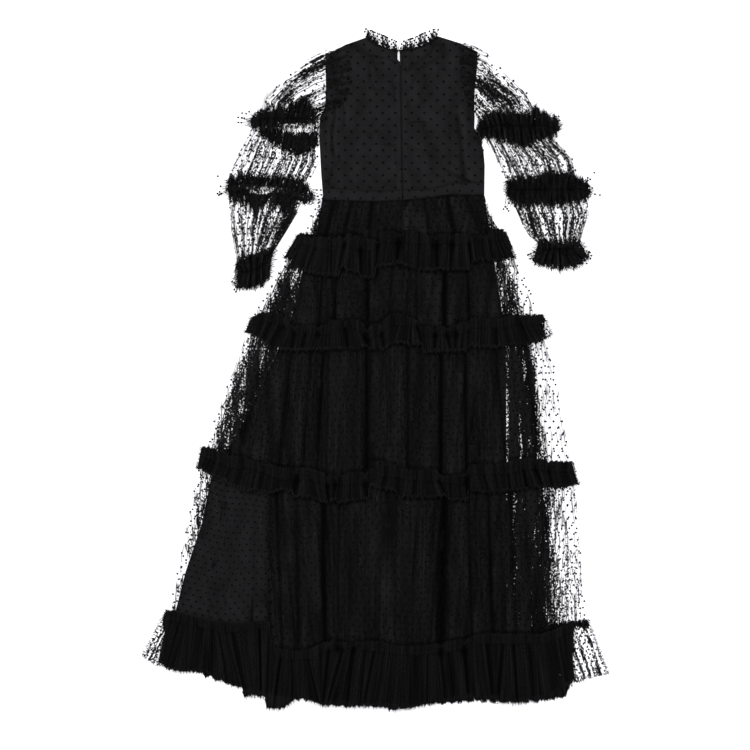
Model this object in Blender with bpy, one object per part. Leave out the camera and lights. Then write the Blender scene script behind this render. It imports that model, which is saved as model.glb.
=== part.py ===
"""A long ruffled net dress, laid flat on its front so that the back and its zip are on top.

x runs across the dress as it is seen, y from the hem to the neck and z up from the surface
that it lies on. Sizes are in millimetres here, and the meshes are made in metres.
"""
import math
from collections import namedtuple

import bmesh
import bpy
from mathutils import Matrix, Vector

MILLIMETRE = 0.001

# Cloth, and how its layers lie on each other
CLOTH = 1.0
GAP = 0.3
LAYER = CLOTH + GAP
LAP = 3.0

# Underside of each layer above the surface
FRONT_TRIM = 0.0
FRONT_NET = FRONT_TRIM + LAYER
FRONT_LINING = FRONT_NET + LAYER
BACK_LINING = FRONT_LINING + LAYER
BACK_NET = BACK_LINING + LAYER
BACK_LAP = BACK_NET + LAYER
BACK_STITCH = BACK_LAP + LAYER + GAP
SLEEVE_BACK = FRONT_NET + LAYER
SLEEVE_LAP = SLEEVE_BACK + LAYER
SLEEVE_STITCH = SLEEVE_LAP + LAYER
SLEEVE_HEAD = BACK_LAP + GAP
OVER_LINING = BACK_NET + 0.4

# Ruffles
HEADER = 22.0
HEADER_LIFT = 1.6
HEADER_WAVE = 3.0
STITCH_WAVE = 0.5
FRILL_LIFT = 2.4
FRILL_WAVE = 8.0
FRILL_SCALLOP = 3.0
HEM_FRILL_DROP = -2.4
COLUMNS_PER_WAVE = 4
WAVE_DRIFT = 0.35
DRIFT_TURNS = 2.5
LOW_WAVE = 0.8
WAVE_BEAT = 2.4

# Gathered skirt
FLAT_AT_SEAM = 8.0
SEAM_RISE = 0.1
HEADER_CLEAR = 24.0
HEADER_RISE = 1.0
SIDE_ROUND = 14.0
SIDE_ROUND_RISE = 0.7
CREST_ROOM = 30.0
CREST_RISE = 1.2

# Zip
ZIP_TOP = 706.0
ZIP_END = 322.0
ZIP_TOP_X = 57.4
ZIP_SLANT = 0.0145
TAPE_HALF = 12.0
CHAIN_HALF = 0.65
PULL_PIVOT_Y = 703.6
PULL_PIVOT_Z = 8.2
PULL_REST_TILT = math.radians(-3.2)
PULL_WALL = 0.8
PULL_EYE = ((-0.95, 0.95), (0.45, 4.2))
CROWN_HALF = 0.5
CROWN_LEG = (1.9, 2.7)
CROWN_BRIDGE = (0.9, 1.5)
SLIDER_HALF = (2.3, 3.6)
SLIDER_WALL = 0.8

# The pull's outline: how far along it, and half of its width there
PullRow = namedtuple("PullRow", "along half")
PULL_FORM = (
    PullRow(-0.45, 1.8),
    PullRow(4.6, 1.8),
    PullRow(8.0, 1.9),
    PullRow(12.0, 2.1),
    PullRow(16.0, 2.2),
    PullRow(18.5, 2.0),
    PullRow(20.2, 1.4),
    PullRow(21.0, 0.6),
)

Finish = namedtuple("Finish", "name colour roughness metallic")
NET = Finish("dotted_net", (0.012, 0.012, 0.013), 0.9, 0.0)
LINING = Finish("lining", (0.014, 0.014, 0.015), 0.6, 0.0)
RUFFLE = Finish("pleated_net", (0.006, 0.006, 0.006), 0.95, 0.0)
BAND = Finish("waistband", (0.013, 0.013, 0.014), 0.8, 0.0)
TAPE = Finish("zip_tape", (0.008, 0.008, 0.008), 0.8, 0.0)
ZIP_METAL = Finish("zip_metal", (0.02, 0.02, 0.02), 0.35, 0.8)

# Sides of the net skirt from the waist to the hem
Side = namedtuple("Side", "y left right")
SKIRT_SIDES = (
    Side(405, -121, 250),
    Side(359, -148, 268),
    Side(299, -178, 300),
    Side(248, -215, 325),
    Side(205, -240, 348),
    Side(110, -286, 383),
    Side(-2, -328, 413),
    Side(-78, -360, 425),
    Side(-195, -397, 445),
    Side(-269, -417, 459),
    Side(-465, -457, 475),
    Side(-552, -473, 482),
    Side(-660, -486, 492),
)

# Sides of the lining skirt, narrower than the net and cut straighter on one side
LINING_SIDES = (
    Side(402, -121, 250),
    Side(306, -138, 264),
    Side(230, -167, 275),
    Side(126, -191, 292),
    Side(44, -224, 300),
    Side(-113, -300, 301),
    Side(-251, -379, 301),
    Side(-352, -399, 302),
    Side(-462, -436, 302),
    Side(-552, -459, 302),
    Side(-644, -468, 305),
)
LINING_HEM = ((-289, -713), (56, -736), (309, -724))

# Each ruffle's stitch line, with the frill's length below it
Stitch = namedtuple("Stitch", "x y frill")
RUFFLE_1 = (
    Stitch(-174, 297, 63),
    Stitch(-137, 283, 62),
    Stitch(-98, 276, 60),
    Stitch(-70, 290, 62),
    Stitch(-31, 276, 65),
    Stitch(-3, 278, 68),
    Stitch(10, 294, 58),
    Stitch(49, 296, 52),
    Stitch(109, 292, 61),
    Stitch(215, 292, 64),
    Stitch(224, 301, 57),
    Stitch(293, 301, 51),
)
RUFFLE_2 = (
    Stitch(-282, 106, 32),
    Stitch(-250, 115, 57),
    Stitch(-199, 99, 46),
    Stitch(-183, 84, 38),
    Stitch(-107, 84, 38),
    Stitch(-98, 97, 50),
    Stitch(-45, 97, 48),
    Stitch(-20, 74, 25),
    Stitch(10, 83, 30),
    Stitch(36, 106, 46),
    Stitch(98, 102, 44),
    Stitch(107, 83, 40),
    Stitch(171, 82, 40),
    Stitch(215, 90, 44),
    Stitch(224, 101, 48),
    Stitch(291, 99, 50),
    Stitch(316, 108, 50),
    Stitch(344, 105, 46),
    Stitch(381, 110, 30),
)
RUFFLE_3 = (
    Stitch(-397, -193, 37),
    Stitch(-339, -221, 37),
    Stitch(-286, -224, 58),
    Stitch(-213, -250, 43),
    Stitch(-137, -248, 44),
    Stitch(-114, -262, 41),
    Stitch(-26, -258, 43),
    Stitch(10, -243, 36),
    Stitch(45, -243, 36),
    Stitch(82, -251, 41),
    Stitch(141, -251, 41),
    Stitch(160, -258, 46),
    Stitch(201, -258, 46),
    Stitch(217, -237, 44),
    Stitch(302, -237, 44),
    Stitch(344, -225, 48),
    Stitch(394, -229, 45),
    Stitch(450, -231, 27),
)
HEM_RUFFLE = (
    Stitch(-477, -570, 105),
    Stitch(-422, -582, 108),
    Stitch(-362, -598, 110),
    Stitch(-323, -600, 136),
    Stitch(-286, -591, 172),
    Stitch(-245, -591, 189),
    Stitch(-234, -653, 129),
    Stitch(-199, -662, 110),
    Stitch(-153, -662, 106),
    Stitch(-116, -644, 129),
    Stitch(-79, -635, 140),
    Stitch(8, -644, 129),
    Stitch(43, -649, 140),
    Stitch(93, -653, 115),
    Stitch(206, -639, 115),
    Stitch(252, -626, 132),
    Stitch(316, -626, 137),
    Stitch(388, -626, 122),
    Stitch(417, -614, 117),
    Stitch(454, -596, 117),
)

# Each back ruffle, with the ends of its frill, its waves and how far the frill rises or sinks
Ruffle = namedtuple("Ruffle", "name line left_end right_end waves lift")
BACK_RUFFLES = (
    Ruffle("ruffle_1", RUFFLE_1, -199, 323, 14, FRILL_LIFT),
    Ruffle("ruffle_2", RUFFLE_2, -286, 406, 18, FRILL_LIFT),
    Ruffle("ruffle_3", RUFFLE_3, -406, 467, 22, FRILL_LIFT),
    Ruffle("hem_ruffle", HEM_RUFFLE, -496, 452, 26, HEM_FRILL_DROP),
)

# Front skirt: the height of its seams at each side, and the header and hem line of its ruffles
FRONT_SEAMS = ((400, 400), (299, 299), (106, 104), (-205, -236), (-650, -650))
FRONT_RUFFLES = (
    ("ruffle_1_front", ((-180, 312), (60, 318), (300, 318)),
     ((324, 262), (250, 246), (100, 244), (-60, 232), (-150, 236), (-215, 258))),
    ("ruffle_2_front", ((-288, 122), (50, 118), (385, 128)),
     ((408, 84), (300, 62), (100, 60), (-100, 58), (-240, 70), (-303, 86))),
    ("ruffle_3_front", ((-402, -176), (-200, -234), (200, -236), (455, -212)),
     ((468, -262), (380, -266), (200, -290), (-60, -292), (-250, -282), (-340, -252), (-414, -226))),
    ("hem_ruffle_front", ((-482, -551), (-243, -578), (56, -620), (489, -573)),
     ((538, -699), (503, -706), (448, -722), (438, -752), (398, -759), (340, -766), (229, -762),
      (114, -770), (56, -768), (-174, -758), (-312, -730), (-429, -690), (-509, -678), (-538, -657))),
)

# Deep folds of each tier of the back skirt: where each starts and ends, and its form
Fold = namedtuple("Fold", "x_top x_bottom half_width depth")
TIER_1_FOLDS = (
    Fold(-92, -123, 7, 0.7),
    Fold(-54, -82, 8, 0.8),
    Fold(-8, -22, 8, 0.8),
    Fold(14, 3.5, 7, 0.0),
    Fold(112, 125, 8, 0.7),
    Fold(162, 185, 8, 0.8),
    Fold(205, 246, 7, 0.7),
)
TIER_2_FOLDS = (
    Fold(-150, -228, 9, 0.5),
    Fold(-118, -132, 7, 0.8),
    Fold(-88, -94, 7, 0.8),
    Fold(-19, -20, 12, 1.0),
    Fold(4, 3, 7, 0.0),
    Fold(43, 29, 8, 0.7),
    Fold(95, 95, 8, 0.6),
    Fold(158, 158, 14, 1.0),
    Fold(208, 217, 8, 0.9),
    Fold(262, 310, 9, 0.5),
)
TIER_3_FOLDS = (
    Fold(-240, -320, 12, 0.5),
    Fold(-190, -224, 12, 0.7),
    Fold(-148, -168, 8, 0.8),
    Fold(-118, -136, 8, 0.9),
    Fold(-20, -20, 14, 1.0),
    Fold(74, 74, 10, 0.8),
    Fold(150, 150, 14, 1.0),
    Fold(204, 209, 9, 0.9),
    Fold(270, 300, 10, 0.6),
    Fold(330, 384, 10, 0.6),
)
TIER_4_FOLDS = (
    Fold(-335, -390, 10, 0.5),
    Fold(-270, -286, 8, 0.6),
    Fold(-250, -240, 6, 0.0),
    Fold(-228, -214, 7, 0.8),
    Fold(-182, -176, 8, 0.6),
    Fold(-122, -116, 13, 1.0),
    Fold(-84, -86, 8, 0.7),
    Fold(158, 152, 26, 1.0),
    Fold(213, 220, 8, 0.8),
    Fold(256, 270, 10, 0.9),
    Fold(309, 322, 10, 0.7),
    Fold(384, 412, 10, 0.6),
)

# Rows of each tier between its seams: the part of the way down and the height of its folds
Row = namedtuple("Row", "part rise")
Tier = namedtuple("Tier", "name top bottom folds rows")

# A column of a tier's grid: where it starts and ends, its height, and the edge that it follows
Column = namedtuple("Column", "x_top x_bottom height edge")
MEET_STEPS = 3

# Bodice outline
NECK_LEFT = ((-22, 764), (-7, 754), (10, 745), (33, 738), (53.2, 736))
NECK_RIGHT = ((54.6, 736), (84, 738), (112, 747), (130, 759), (140, 768))
NECK_FRONT = ((-22, 764), (-8, 728), (22, 696), (56, 684), (90, 694), (120, 724), (140, 768))
NECK_FRILL_FRONT = ((-20, 786), (10, 744), (34, 715), (56, 705), (80, 713), (104, 740), (138, 788))
SHOULDER_LEFT = ((-70, 747), (-115, 722))
SHOULDER_RIGHT = ((194, 751), (235, 731))
ARMHOLE_LEFT = ((-115, 722), (-114, 646), (-116, 603), (-128, 580))
ARMHOLE_RIGHT = ((235, 731), (233, 688), (228, 642), (227, 600), (228, 582))
NET_ARMHOLE_LEFT = ((-61, 751), (-59, 667), (-66, 626), (-88, 602), (-128, 584))
NET_ARMHOLE_RIGHT = ((194, 752), (197, 678), (208, 632), (217, 606), (228, 586))
SIDE_LEFT = ((-128, 580), (-129, 529), (-125, 453), (-121, 412))
SIDE_RIGHT = ((228, 582), (227, 556), (240, 532), (248, 505), (251, 470), (250, 425))
BAND_TOP = ((-120, 416), (1, 409), (59, 412), (118, 412), (178, 427), (249, 429))
BAND_BOTTOM = ((-121, 394), (2, 390), (60, 393), (118, 398), (169, 406), (250, 405))
SLIT_LEFT = ((53.2, 736), (50.8, 728), (50.8, 714), (56.2, 704))
SLIT_RIGHT = ((54.6, 736), (55.3, 728), (55.8, 716), (58.7, 706.5))
HOOK_AT = (54.4, 730.4)
HOOK_FORM = ((-3.6, -0.9), (-3.6, 0.9), (-1.8, 0.5), (1.6, 0.5),
             (3.6, 1.3), (3.6, -1.3), (1.6, -0.5), (-1.8, -0.5))
HOOK_WALL = 0.8
NECK_FRILL_LEFT = ((-34, 784), (-22, 785), (1, 777), (22, 768), (53.2, 753))
NECK_FRILL_RIGHT = ((55.2, 753), (91, 766), (114, 777), (135, 784), (153, 783))
NECK_FRILL_WAVES = 3
NECK_FRILL_LIFT = 0.5
NECK_FRILL_RISE = 2.5
BODICE_ROWS = 8
BODICE_COLUMNS = 6
BODICE_CROWN = 1.6
BODICE_FOOT = 412.0
LINING_SEAM = 402.0
BAND_FOOT = 393.0
BAND_CLEAR = 2.0

# Each sleeve: the edges of its three puffs, from the shoulder to the cuff
Puff = namedtuple("Puff", "name outer inner rise")
Ring = namedtuple("Ring", "name top middle bottom waves lift")
FlatRing = namedtuple("FlatRing", "name top bottom")
Cuff = namedtuple("Cuff", "header waist hem waves")
Sleeve = namedtuple("Sleeve", "side armhole head puffs rings front_rings cuff")
LEFT_SLEEVE = Sleeve(
    side="left",
    armhole=ARMHOLE_LEFT,
    head=NET_ARMHOLE_LEFT,
    puffs=(
        Puff("upper", ((-61, 751), (-107, 738), (-162, 711), (-217, 673), (-258, 628), (-268, 577)),
             ((-129.5, 590), (-129.5, 575)), 5.0),
        Puff("mid", ((-268, 577), (-291, 547), (-312, 511), (-337, 451), (-339, 423)),
             ((-129.5, 575), (-129.5, 508), (-130, 476), (-150, 437), (-164, 412)), 5.5),
        Puff("lower", ((-339, 423), (-336, 366), (-332, 322), (-325, 281), (-316, 241)),
             ((-164, 412), (-178, 363), (-210, 310), (-243, 258)), 5.0),
    ),
    rings=(
        Ring("ring_1", ((-289, 577), (-261, 598), (-213, 603), (-160, 626), (-146, 605), (-129.5, 582)),
             ((-289, 568), (-261, 577), (-213, 577), (-160, 576), (-129.5, 577)),
             ((-289, 559), (-261, 552), (-213, 554), (-160, 561), (-129.5, 573)), 8, 1.0),
        Ring("ring_2", ((-342, 437), (-312, 451), (-256, 444), (-199, 446), (-171, 439), (-139, 402)),
             ((-343, 423), (-312, 428), (-256, 425), (-199, 418), (-141, 396)),
             ((-344, 409), (-312, 419), (-256, 419), (-199, 407), (-171, 400), (-141, 389)), 8, 0.2),
    ),
    front_rings=(
        FlatRing("ring_1", ((-268, 563), (-217, 556), (-183, 545), (-153, 552), (-129.5, 566)),
                 ((-270, 548), (-247, 527), (-199, 499), (-174, 492), (-148, 504), (-130, 518))),
        FlatRing("ring_2", ((-338, 424), (-300, 416), (-243, 412), (-181, 407), (-146, 400)),
                 ((-338, 392), (-300, 382), (-275, 361), (-243, 389), (-208, 359), (-181, 384), (-146, 382))),
    ),
    cuff=Cuff(((-321, 244), (-300, 260), (-261, 271), (-231, 285)),
              ((-312, 223), (-279, 230), (-245, 248)),
              ((-323, 193), (-293, 186), (-263, 195), (-243, 214)), 6),
)
RIGHT_SLEEVE = Sleeve(
    side="right",
    armhole=ARMHOLE_RIGHT,
    head=NET_ARMHOLE_RIGHT,
    puffs=(
        Puff("upper", ((194, 752), (212, 755), (259, 733), (307, 685), (353, 644), (371, 612), (406, 564)),
             ((230, 590), (234, 561)), 5.0),
        Puff("mid", ((406, 564), (415, 527), (434, 508), (457, 485), (468, 446), (480, 414)),
             ((234, 561), (256, 524), (273, 485), (289, 439), (302, 414)), 5.5),
        Puff("lower", ((480, 414), (489, 379), (491, 353), (482, 327), (465, 285)),
             ((302, 414), (323, 369), (343, 321), (355, 305), (379, 285)), 5.0),
    ),
    rings=(
        Ring("ring_1", ((231, 554), (247, 586), (275, 596), (346, 589), (371, 603), (394, 586), (422, 573)),
             ((231, 546), (275, 562), (346, 561), (406, 562), (423, 563)),
             ((231, 538), (240, 526), (266, 534), (344, 511), (371, 531), (404, 531), (424, 554)), 9, 1.4),
        Ring("ring_2", ((300, 432), (323, 444), (369, 444), (388, 457), (443, 453), (473, 439), (493, 423)),
             ((300, 416), (323, 414), (404, 414), (482, 416), (494, 415)),
             ((300, 400), (323, 379), (350, 373), (376, 386), (401, 373), (482, 389), (496, 407)), 9, 0.2),
    ),
    front_rings=(
        FlatRing("ring_1", ((232, 556), (275, 590), (346, 584), (422, 570)),
                 ((232, 538), (266, 536), (344, 516), (424, 552))),
        FlatRing("ring_2", ((302, 430), (369, 440), (443, 446), (488, 423)),
                 ((302, 402), (323, 384), (401, 380), (490, 405))),
    ),
    cuff=Cuff(((374, 294), (424, 290), (473, 294)),
              ((381, 278), (463, 278)),
              ((359, 256), (375, 244), (427, 232), (472, 244), (491, 262)), 6),
)
PUFF_GATHERS = 3
PUFF_CROWN_POWER = 0.8
PUFF_TROUGH = 0.55
RISE_OVER_LINING = 0.4
PUFF_GATHER_RISE = 0.9
PUFF_PARTS = (0.0, 0.22, 0.5, 0.78, 1.0)
PUFF_SWELL = (0.0, 0.28, 1.0, 0.28, 0.0)
RING_EDGE_LIFT = 2.4
RING_WAVE = 5.0
CUFF_EDGE_LIFT = 2.5
OVERHANG_END = 56.0
OVERHANG_SLOPE = 50.0


def clear_scene():
    """Removes whatever the scene holds."""
    for item in list(bpy.data.objects):
        bpy.data.objects.remove(item, do_unlink=True)


def blend(start, end, part):
    """Value the given part of the way from start to end."""
    return start + (end - start) * part


def read_table(rows, key, value, place):
    """One column of a table at a place, in straight lines between rows and level past the ends."""
    ordered = sorted(rows, key=lambda row: getattr(row, key))
    if place <= getattr(ordered[0], key):
        return getattr(ordered[0], value)
    for low, high in zip(ordered, ordered[1:]):
        if place <= getattr(high, key):
            span = getattr(high, key) - getattr(low, key)
            return blend(getattr(low, value), getattr(high, value), (place - getattr(low, key)) / span)
    return getattr(ordered[-1], value)


def walk(points, count):
    """The given number of points, evenly spaced along a line of points."""
    lengths = [math.dist(a, b) for a, b in zip(points, points[1:])]
    total = sum(lengths)
    result = []
    for step in range(count):
        ahead = total * step / (count - 1)
        leg = 0
        while leg < len(lengths) - 1 and ahead > lengths[leg]:
            ahead -= lengths[leg]
            leg += 1
        part = min(ahead / lengths[leg], 1.0)
        start, end = points[leg], points[leg + 1]
        result.append((blend(start[0], end[0], part), blend(start[1], end[1], part)))
    return result


def patch(first, last, left, right):
    """Grid of points that fills the space between four edges with matching corners."""
    rows = len(left)
    columns = len(first)
    grid = []
    for r in range(rows):
        v = r / (rows - 1)
        row = []
        for c in range(columns):
            u = c / (columns - 1)
            point = []
            for axis in (0, 1):
                along = blend(first[c][axis], last[c][axis], v) + blend(left[r][axis], right[r][axis], u)
                corners = blend(blend(first[0][axis], first[-1][axis], u),
                                blend(last[0][axis], last[-1][axis], u), v)
                point.append(along - corners)
            row.append(tuple(point))
        grid.append(row)
    return grid


def moved(points, x=0.0, y=0.0):
    """The same points, moved across and along."""
    return [(point[0] + x, point[1] + y) for point in points]


def zip_x(y):
    """Middle of the zip at a height up the back."""
    return ZIP_TOP_X + ZIP_SLANT * (ZIP_TOP - y)


def add_object(name, mesh_builder, finish):
    """Makes an object with its own material from a mesh in millimetres."""
    bmesh.ops.recalc_face_normals(mesh_builder, faces=mesh_builder.faces)
    bmesh.ops.scale(mesh_builder, vec=(MILLIMETRE,) * 3, verts=mesh_builder.verts)
    mesh = bpy.data.meshes.new(name)
    mesh_builder.to_mesh(mesh)
    mesh_builder.free()
    item = bpy.data.objects.new(name, mesh)
    bpy.context.scene.collection.objects.link(item)
    material = bpy.data.materials.new(finish.name + "_" + name)
    material.use_nodes = True
    shader = material.node_tree.nodes["Principled BSDF"]
    shader.inputs["Base Color"].default_value = (*finish.colour, 1.0)
    shader.inputs["Roughness"].default_value = finish.roughness
    shader.inputs["Metallic"].default_value = finish.metallic
    mesh.materials.append(material)
    return item


def add_flat(name, outline, level, finish, wall=CLOTH):
    """A piece of cloth that lies flat: its outline, from its level up through its wall."""
    builder = bmesh.new()
    base = [builder.verts.new((x, y, level)) for x, y in outline]
    face = builder.faces.new(base)
    grown = bmesh.ops.extrude_face_region(builder, geom=[face])
    raised = [part for part in grown["geom"] if isinstance(part, bmesh.types.BMVert)]
    bmesh.ops.translate(builder, vec=(0, 0, wall), verts=raised)
    builder.normal_update()
    bmesh.ops.triangulate(builder, faces=builder.faces)
    return add_object(name, builder, finish)


def wall_height(grid, r, c):
    """How high the wall stands above a point, so that it is one cloth thick square to its slope."""
    left = Vector(grid[r][max(c - 1, 0)])
    right = Vector(grid[r][min(c + 1, len(grid[0]) - 1)])
    above = Vector(grid[max(r - 1, 0)][c])
    below = Vector(grid[min(r + 1, len(grid) - 1)][c])
    normal = (right - left).cross(above - below)
    return CLOTH * normal.length / max(abs(normal.z), 0.5 * normal.length)


def add_folded(name, grid, finish):
    """A folded piece of cloth: a grid of points on its underside, with a wall above them."""
    builder = bmesh.new()
    rows = len(grid)
    columns = len(grid[0])
    under = [[builder.verts.new(point) for point in row] for row in grid]
    over = [[builder.verts.new((x, y, z + wall_height(grid, r, c)))
             for c, (x, y, z) in enumerate(row)] for r, row in enumerate(grid)]
    for sheet in (under, over):
        for r in range(rows - 1):
            for c in range(columns - 1):
                builder.faces.new((sheet[r][c], sheet[r + 1][c], sheet[r + 1][c + 1]))
                builder.faces.new((sheet[r][c], sheet[r + 1][c + 1], sheet[r][c + 1]))
    rim = [(r, 0) for r in range(rows)]
    rim += [(rows - 1, c) for c in range(1, columns)]
    rim += [(r, columns - 1) for r in range(rows - 2, -1, -1)]
    rim += [(0, c) for c in range(columns - 2, 0, -1)]
    for (r0, c0), (r1, c1) in zip(rim, rim[1:] + rim[:1]):
        builder.faces.new((under[r0][c0], under[r1][c1], over[r1][c1]))
        builder.faces.new((under[r0][c0], over[r1][c1], over[r0][c0]))
    return add_object(name, builder, finish)


def wave_at(column):
    """How far a column stands up a ruffle's wave, from its trough to its crest."""
    return 0.5 - 0.5 * math.cos(2 * math.pi * column / COLUMNS_PER_WAVE)


def seam_y(line, x):
    """Height of a ruffle's stitch line at a place across the skirt."""
    return read_table(line, "x", "y", x)


def side_column(side, inset, height):
    """A column of a tier that follows one side of the skirt."""
    return Column(0.0, 0.0, height, lambda y: read_table(SKIRT_SIDES, "y", side, y) + inset)


def zip_column(inset, height):
    """A column of the upper tier that follows the zip."""
    return Column(0.0, 0.0, height, lambda y: zip_x(y) + inset)


def meet(edge, seam):
    """Where an edge of the skirt crosses a seam."""
    x = edge(seam(0.0))
    for _ in range(MEET_STEPS):
        x = edge(seam(x))
    return x


def fold_columns(folds, first, last):
    """Columns of a tier: both of its ends, and for each fold its shoulders, its bottom and a crest."""
    columns = list(first)
    for index, fold in enumerate(folds):
        for offset, height in ((-fold.half_width, 1.0), (0.0, 1.0 - fold.depth), (fold.half_width, 1.0)):
            columns.append(Column(fold.x_top + offset, fold.x_bottom + offset, height, None))
        if index + 1 < len(folds):
            after = folds[index + 1]
            free_top = (after.x_top - after.half_width) - (fold.x_top + fold.half_width)
            if free_top > CREST_ROOM:
                free_bottom = (after.x_bottom - after.half_width) - (fold.x_bottom + fold.half_width)
                x_top = fold.x_top + fold.half_width + free_top / 2
                x_bottom = fold.x_bottom + fold.half_width + free_bottom / 2
                columns.append(Column(x_top, x_bottom, CREST_RISE, None))
    columns.extend(last)
    return columns


def tier_grid(top, bottom, columns, rows):
    """Underside of one tier of the back skirt, from under the seam above to over the seam below."""
    grid = [[] for _ in range(len(rows) + 4)]
    for column in columns:
        high = top(meet(column.edge, top) if column.edge else column.x_top)
        low = bottom(meet(column.edge, bottom) if column.edge else column.x_bottom)
        start = high - FLAT_AT_SEAM
        end = low + HEADER_CLEAR
        stops = [(high + LAP, BACK_NET, 0.0), (start, BACK_NET, SEAM_RISE)]
        stops += [(blend(start, end, row.part), BACK_NET, row.rise) for row in rows]
        stops += [(end, BACK_LAP, HEADER_RISE), (low - LAP, BACK_LAP, 0.0)]
        for index, (y, level, rise) in enumerate(stops):
            part = (high - y) / (high - low)
            x = column.edge(y) if column.edge else blend(column.x_top, column.x_bottom, part)
            grid[index].append((x, y, level + rise * column.height))
    return grid


def ruffle_grid(ruffle):
    """Underside of a back ruffle: its standing header, its stitch line and the edge of its frill."""
    count = ruffle.waves * COLUMNS_PER_WAVE
    x_start = ruffle.line[0].x
    x_end = ruffle.line[-1].x
    header, stitch, hem = [], [], []
    for column in range(count + 1):
        part = column / count
        drift = math.sin(2 * math.pi * DRIFT_TURNS * part) * math.sin(math.pi * part)
        part += WAVE_DRIFT / ruffle.waves * drift
        wave = wave_at(column)
        uneven = LOW_WAVE + (1.0 - LOW_WAVE) * math.sin(WAVE_BEAT * column / COLUMNS_PER_WAVE)
        x = blend(x_start, x_end, part)
        x_hem = blend(ruffle.left_end, ruffle.right_end, part)
        y = seam_y(ruffle.line, x)
        length = read_table(ruffle.line, "x", "frill", x)
        header.append((x, y + HEADER, BACK_STITCH + HEADER_LIFT + HEADER_WAVE * wave * uneven))
        stitch.append((x, y, BACK_STITCH + STITCH_WAVE * wave))
        hem.append((x_hem, y - length - FRILL_SCALLOP * wave,
                    BACK_STITCH + ruffle.lift + FRILL_WAVE * wave * uneven))
    return [header, stitch, hem]


def puff_grid(sleeve, puff):
    """Underside of the back half of one sleeve puff."""
    columns = PUFF_GATHERS * COLUMNS_PER_WAVE + 1
    rows = len(PUFF_PARTS)
    outer = walk(puff.outer, rows)
    inner = walk(puff.inner, rows)
    last = walk([outer[-1], inner[-1]], columns)
    toward_body = 1 if sleeve.side == "left" else -1
    if puff.name == "upper":
        first = moved(walk(sleeve.head, columns), x=LAP * toward_body)
    else:
        first = walk([outer[0], inner[0]], columns)
    outer[0], inner[0] = first[0], first[-1]
    grid = []
    for r, row in enumerate(patch(first, last, outer, inner)):
        points = []
        for c, (x, y) in enumerate(row):
            across = c / (columns - 1)
            wave = wave_at(c)
            crown = math.sin(math.pi * across) ** PUFF_CROWN_POWER
            level = SLEEVE_LAP if r == rows - 1 else SLEEVE_BACK
            rise = PUFF_SWELL[r] * puff.rise * crown * blend(PUFF_TROUGH, 1.0, wave)
            rise += PUFF_GATHER_RISE * wave * min(r, rows - 1 - r, 1) * crown
            z = level + rise
            if puff.name == "upper" and r < rows - 1:
                reach = toward_body * (sleeve.armhole[1][0] - x)
                over = min(max((OVERHANG_END - reach) / OVERHANG_SLOPE, 0.0), 1.0)
                z = max(z, blend(SLEEVE_BACK, OVER_LINING, over) + rise * blend(1.0, RISE_OVER_LINING, over))
                if r == 0:
                    z = SLEEVE_HEAD
            drop = LAP if r == rows - 1 else 0.0
            points.append((x, y - drop, z))
        grid.append(points)
    return grid


def ring_grid(ring):
    """Underside of the back half of one sleeve ring, gathered along its middle."""
    columns = ring.waves * COLUMNS_PER_WAVE + 1
    lines = [walk(line, columns) for line in (ring.top, ring.middle, ring.bottom)]
    level = SLEEVE_STITCH + ring.lift
    rows = [[], [], []]
    for c in range(columns):
        wave = wave_at(c)
        rows[0].append((*lines[0][c], level + RING_EDGE_LIFT + RING_WAVE * wave))
        rows[1].append((*lines[1][c], level + STITCH_WAVE * wave))
        rows[2].append((*lines[2][c], level + RING_EDGE_LIFT + RING_WAVE * wave))
    return rows


def cuff_grid(cuff):
    """Underside of the back half of a cuff: header, gathered waist and flared edge."""
    columns = cuff.waves * COLUMNS_PER_WAVE + 1
    lines = [walk(line, columns) for line in (cuff.header, cuff.waist, cuff.hem)]
    rows = [[], [], []]
    for c in range(columns):
        wave = wave_at(c)
        rows[0].append((*lines[0][c], SLEEVE_STITCH + HEADER_LIFT + HEADER_WAVE * wave))
        rows[1].append((*lines[1][c], SLEEVE_STITCH + STITCH_WAVE * wave))
        rows[2].append((*lines[2][c], SLEEVE_BACK + CUFF_EDGE_LIFT + RING_WAVE * wave))
    return rows


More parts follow.
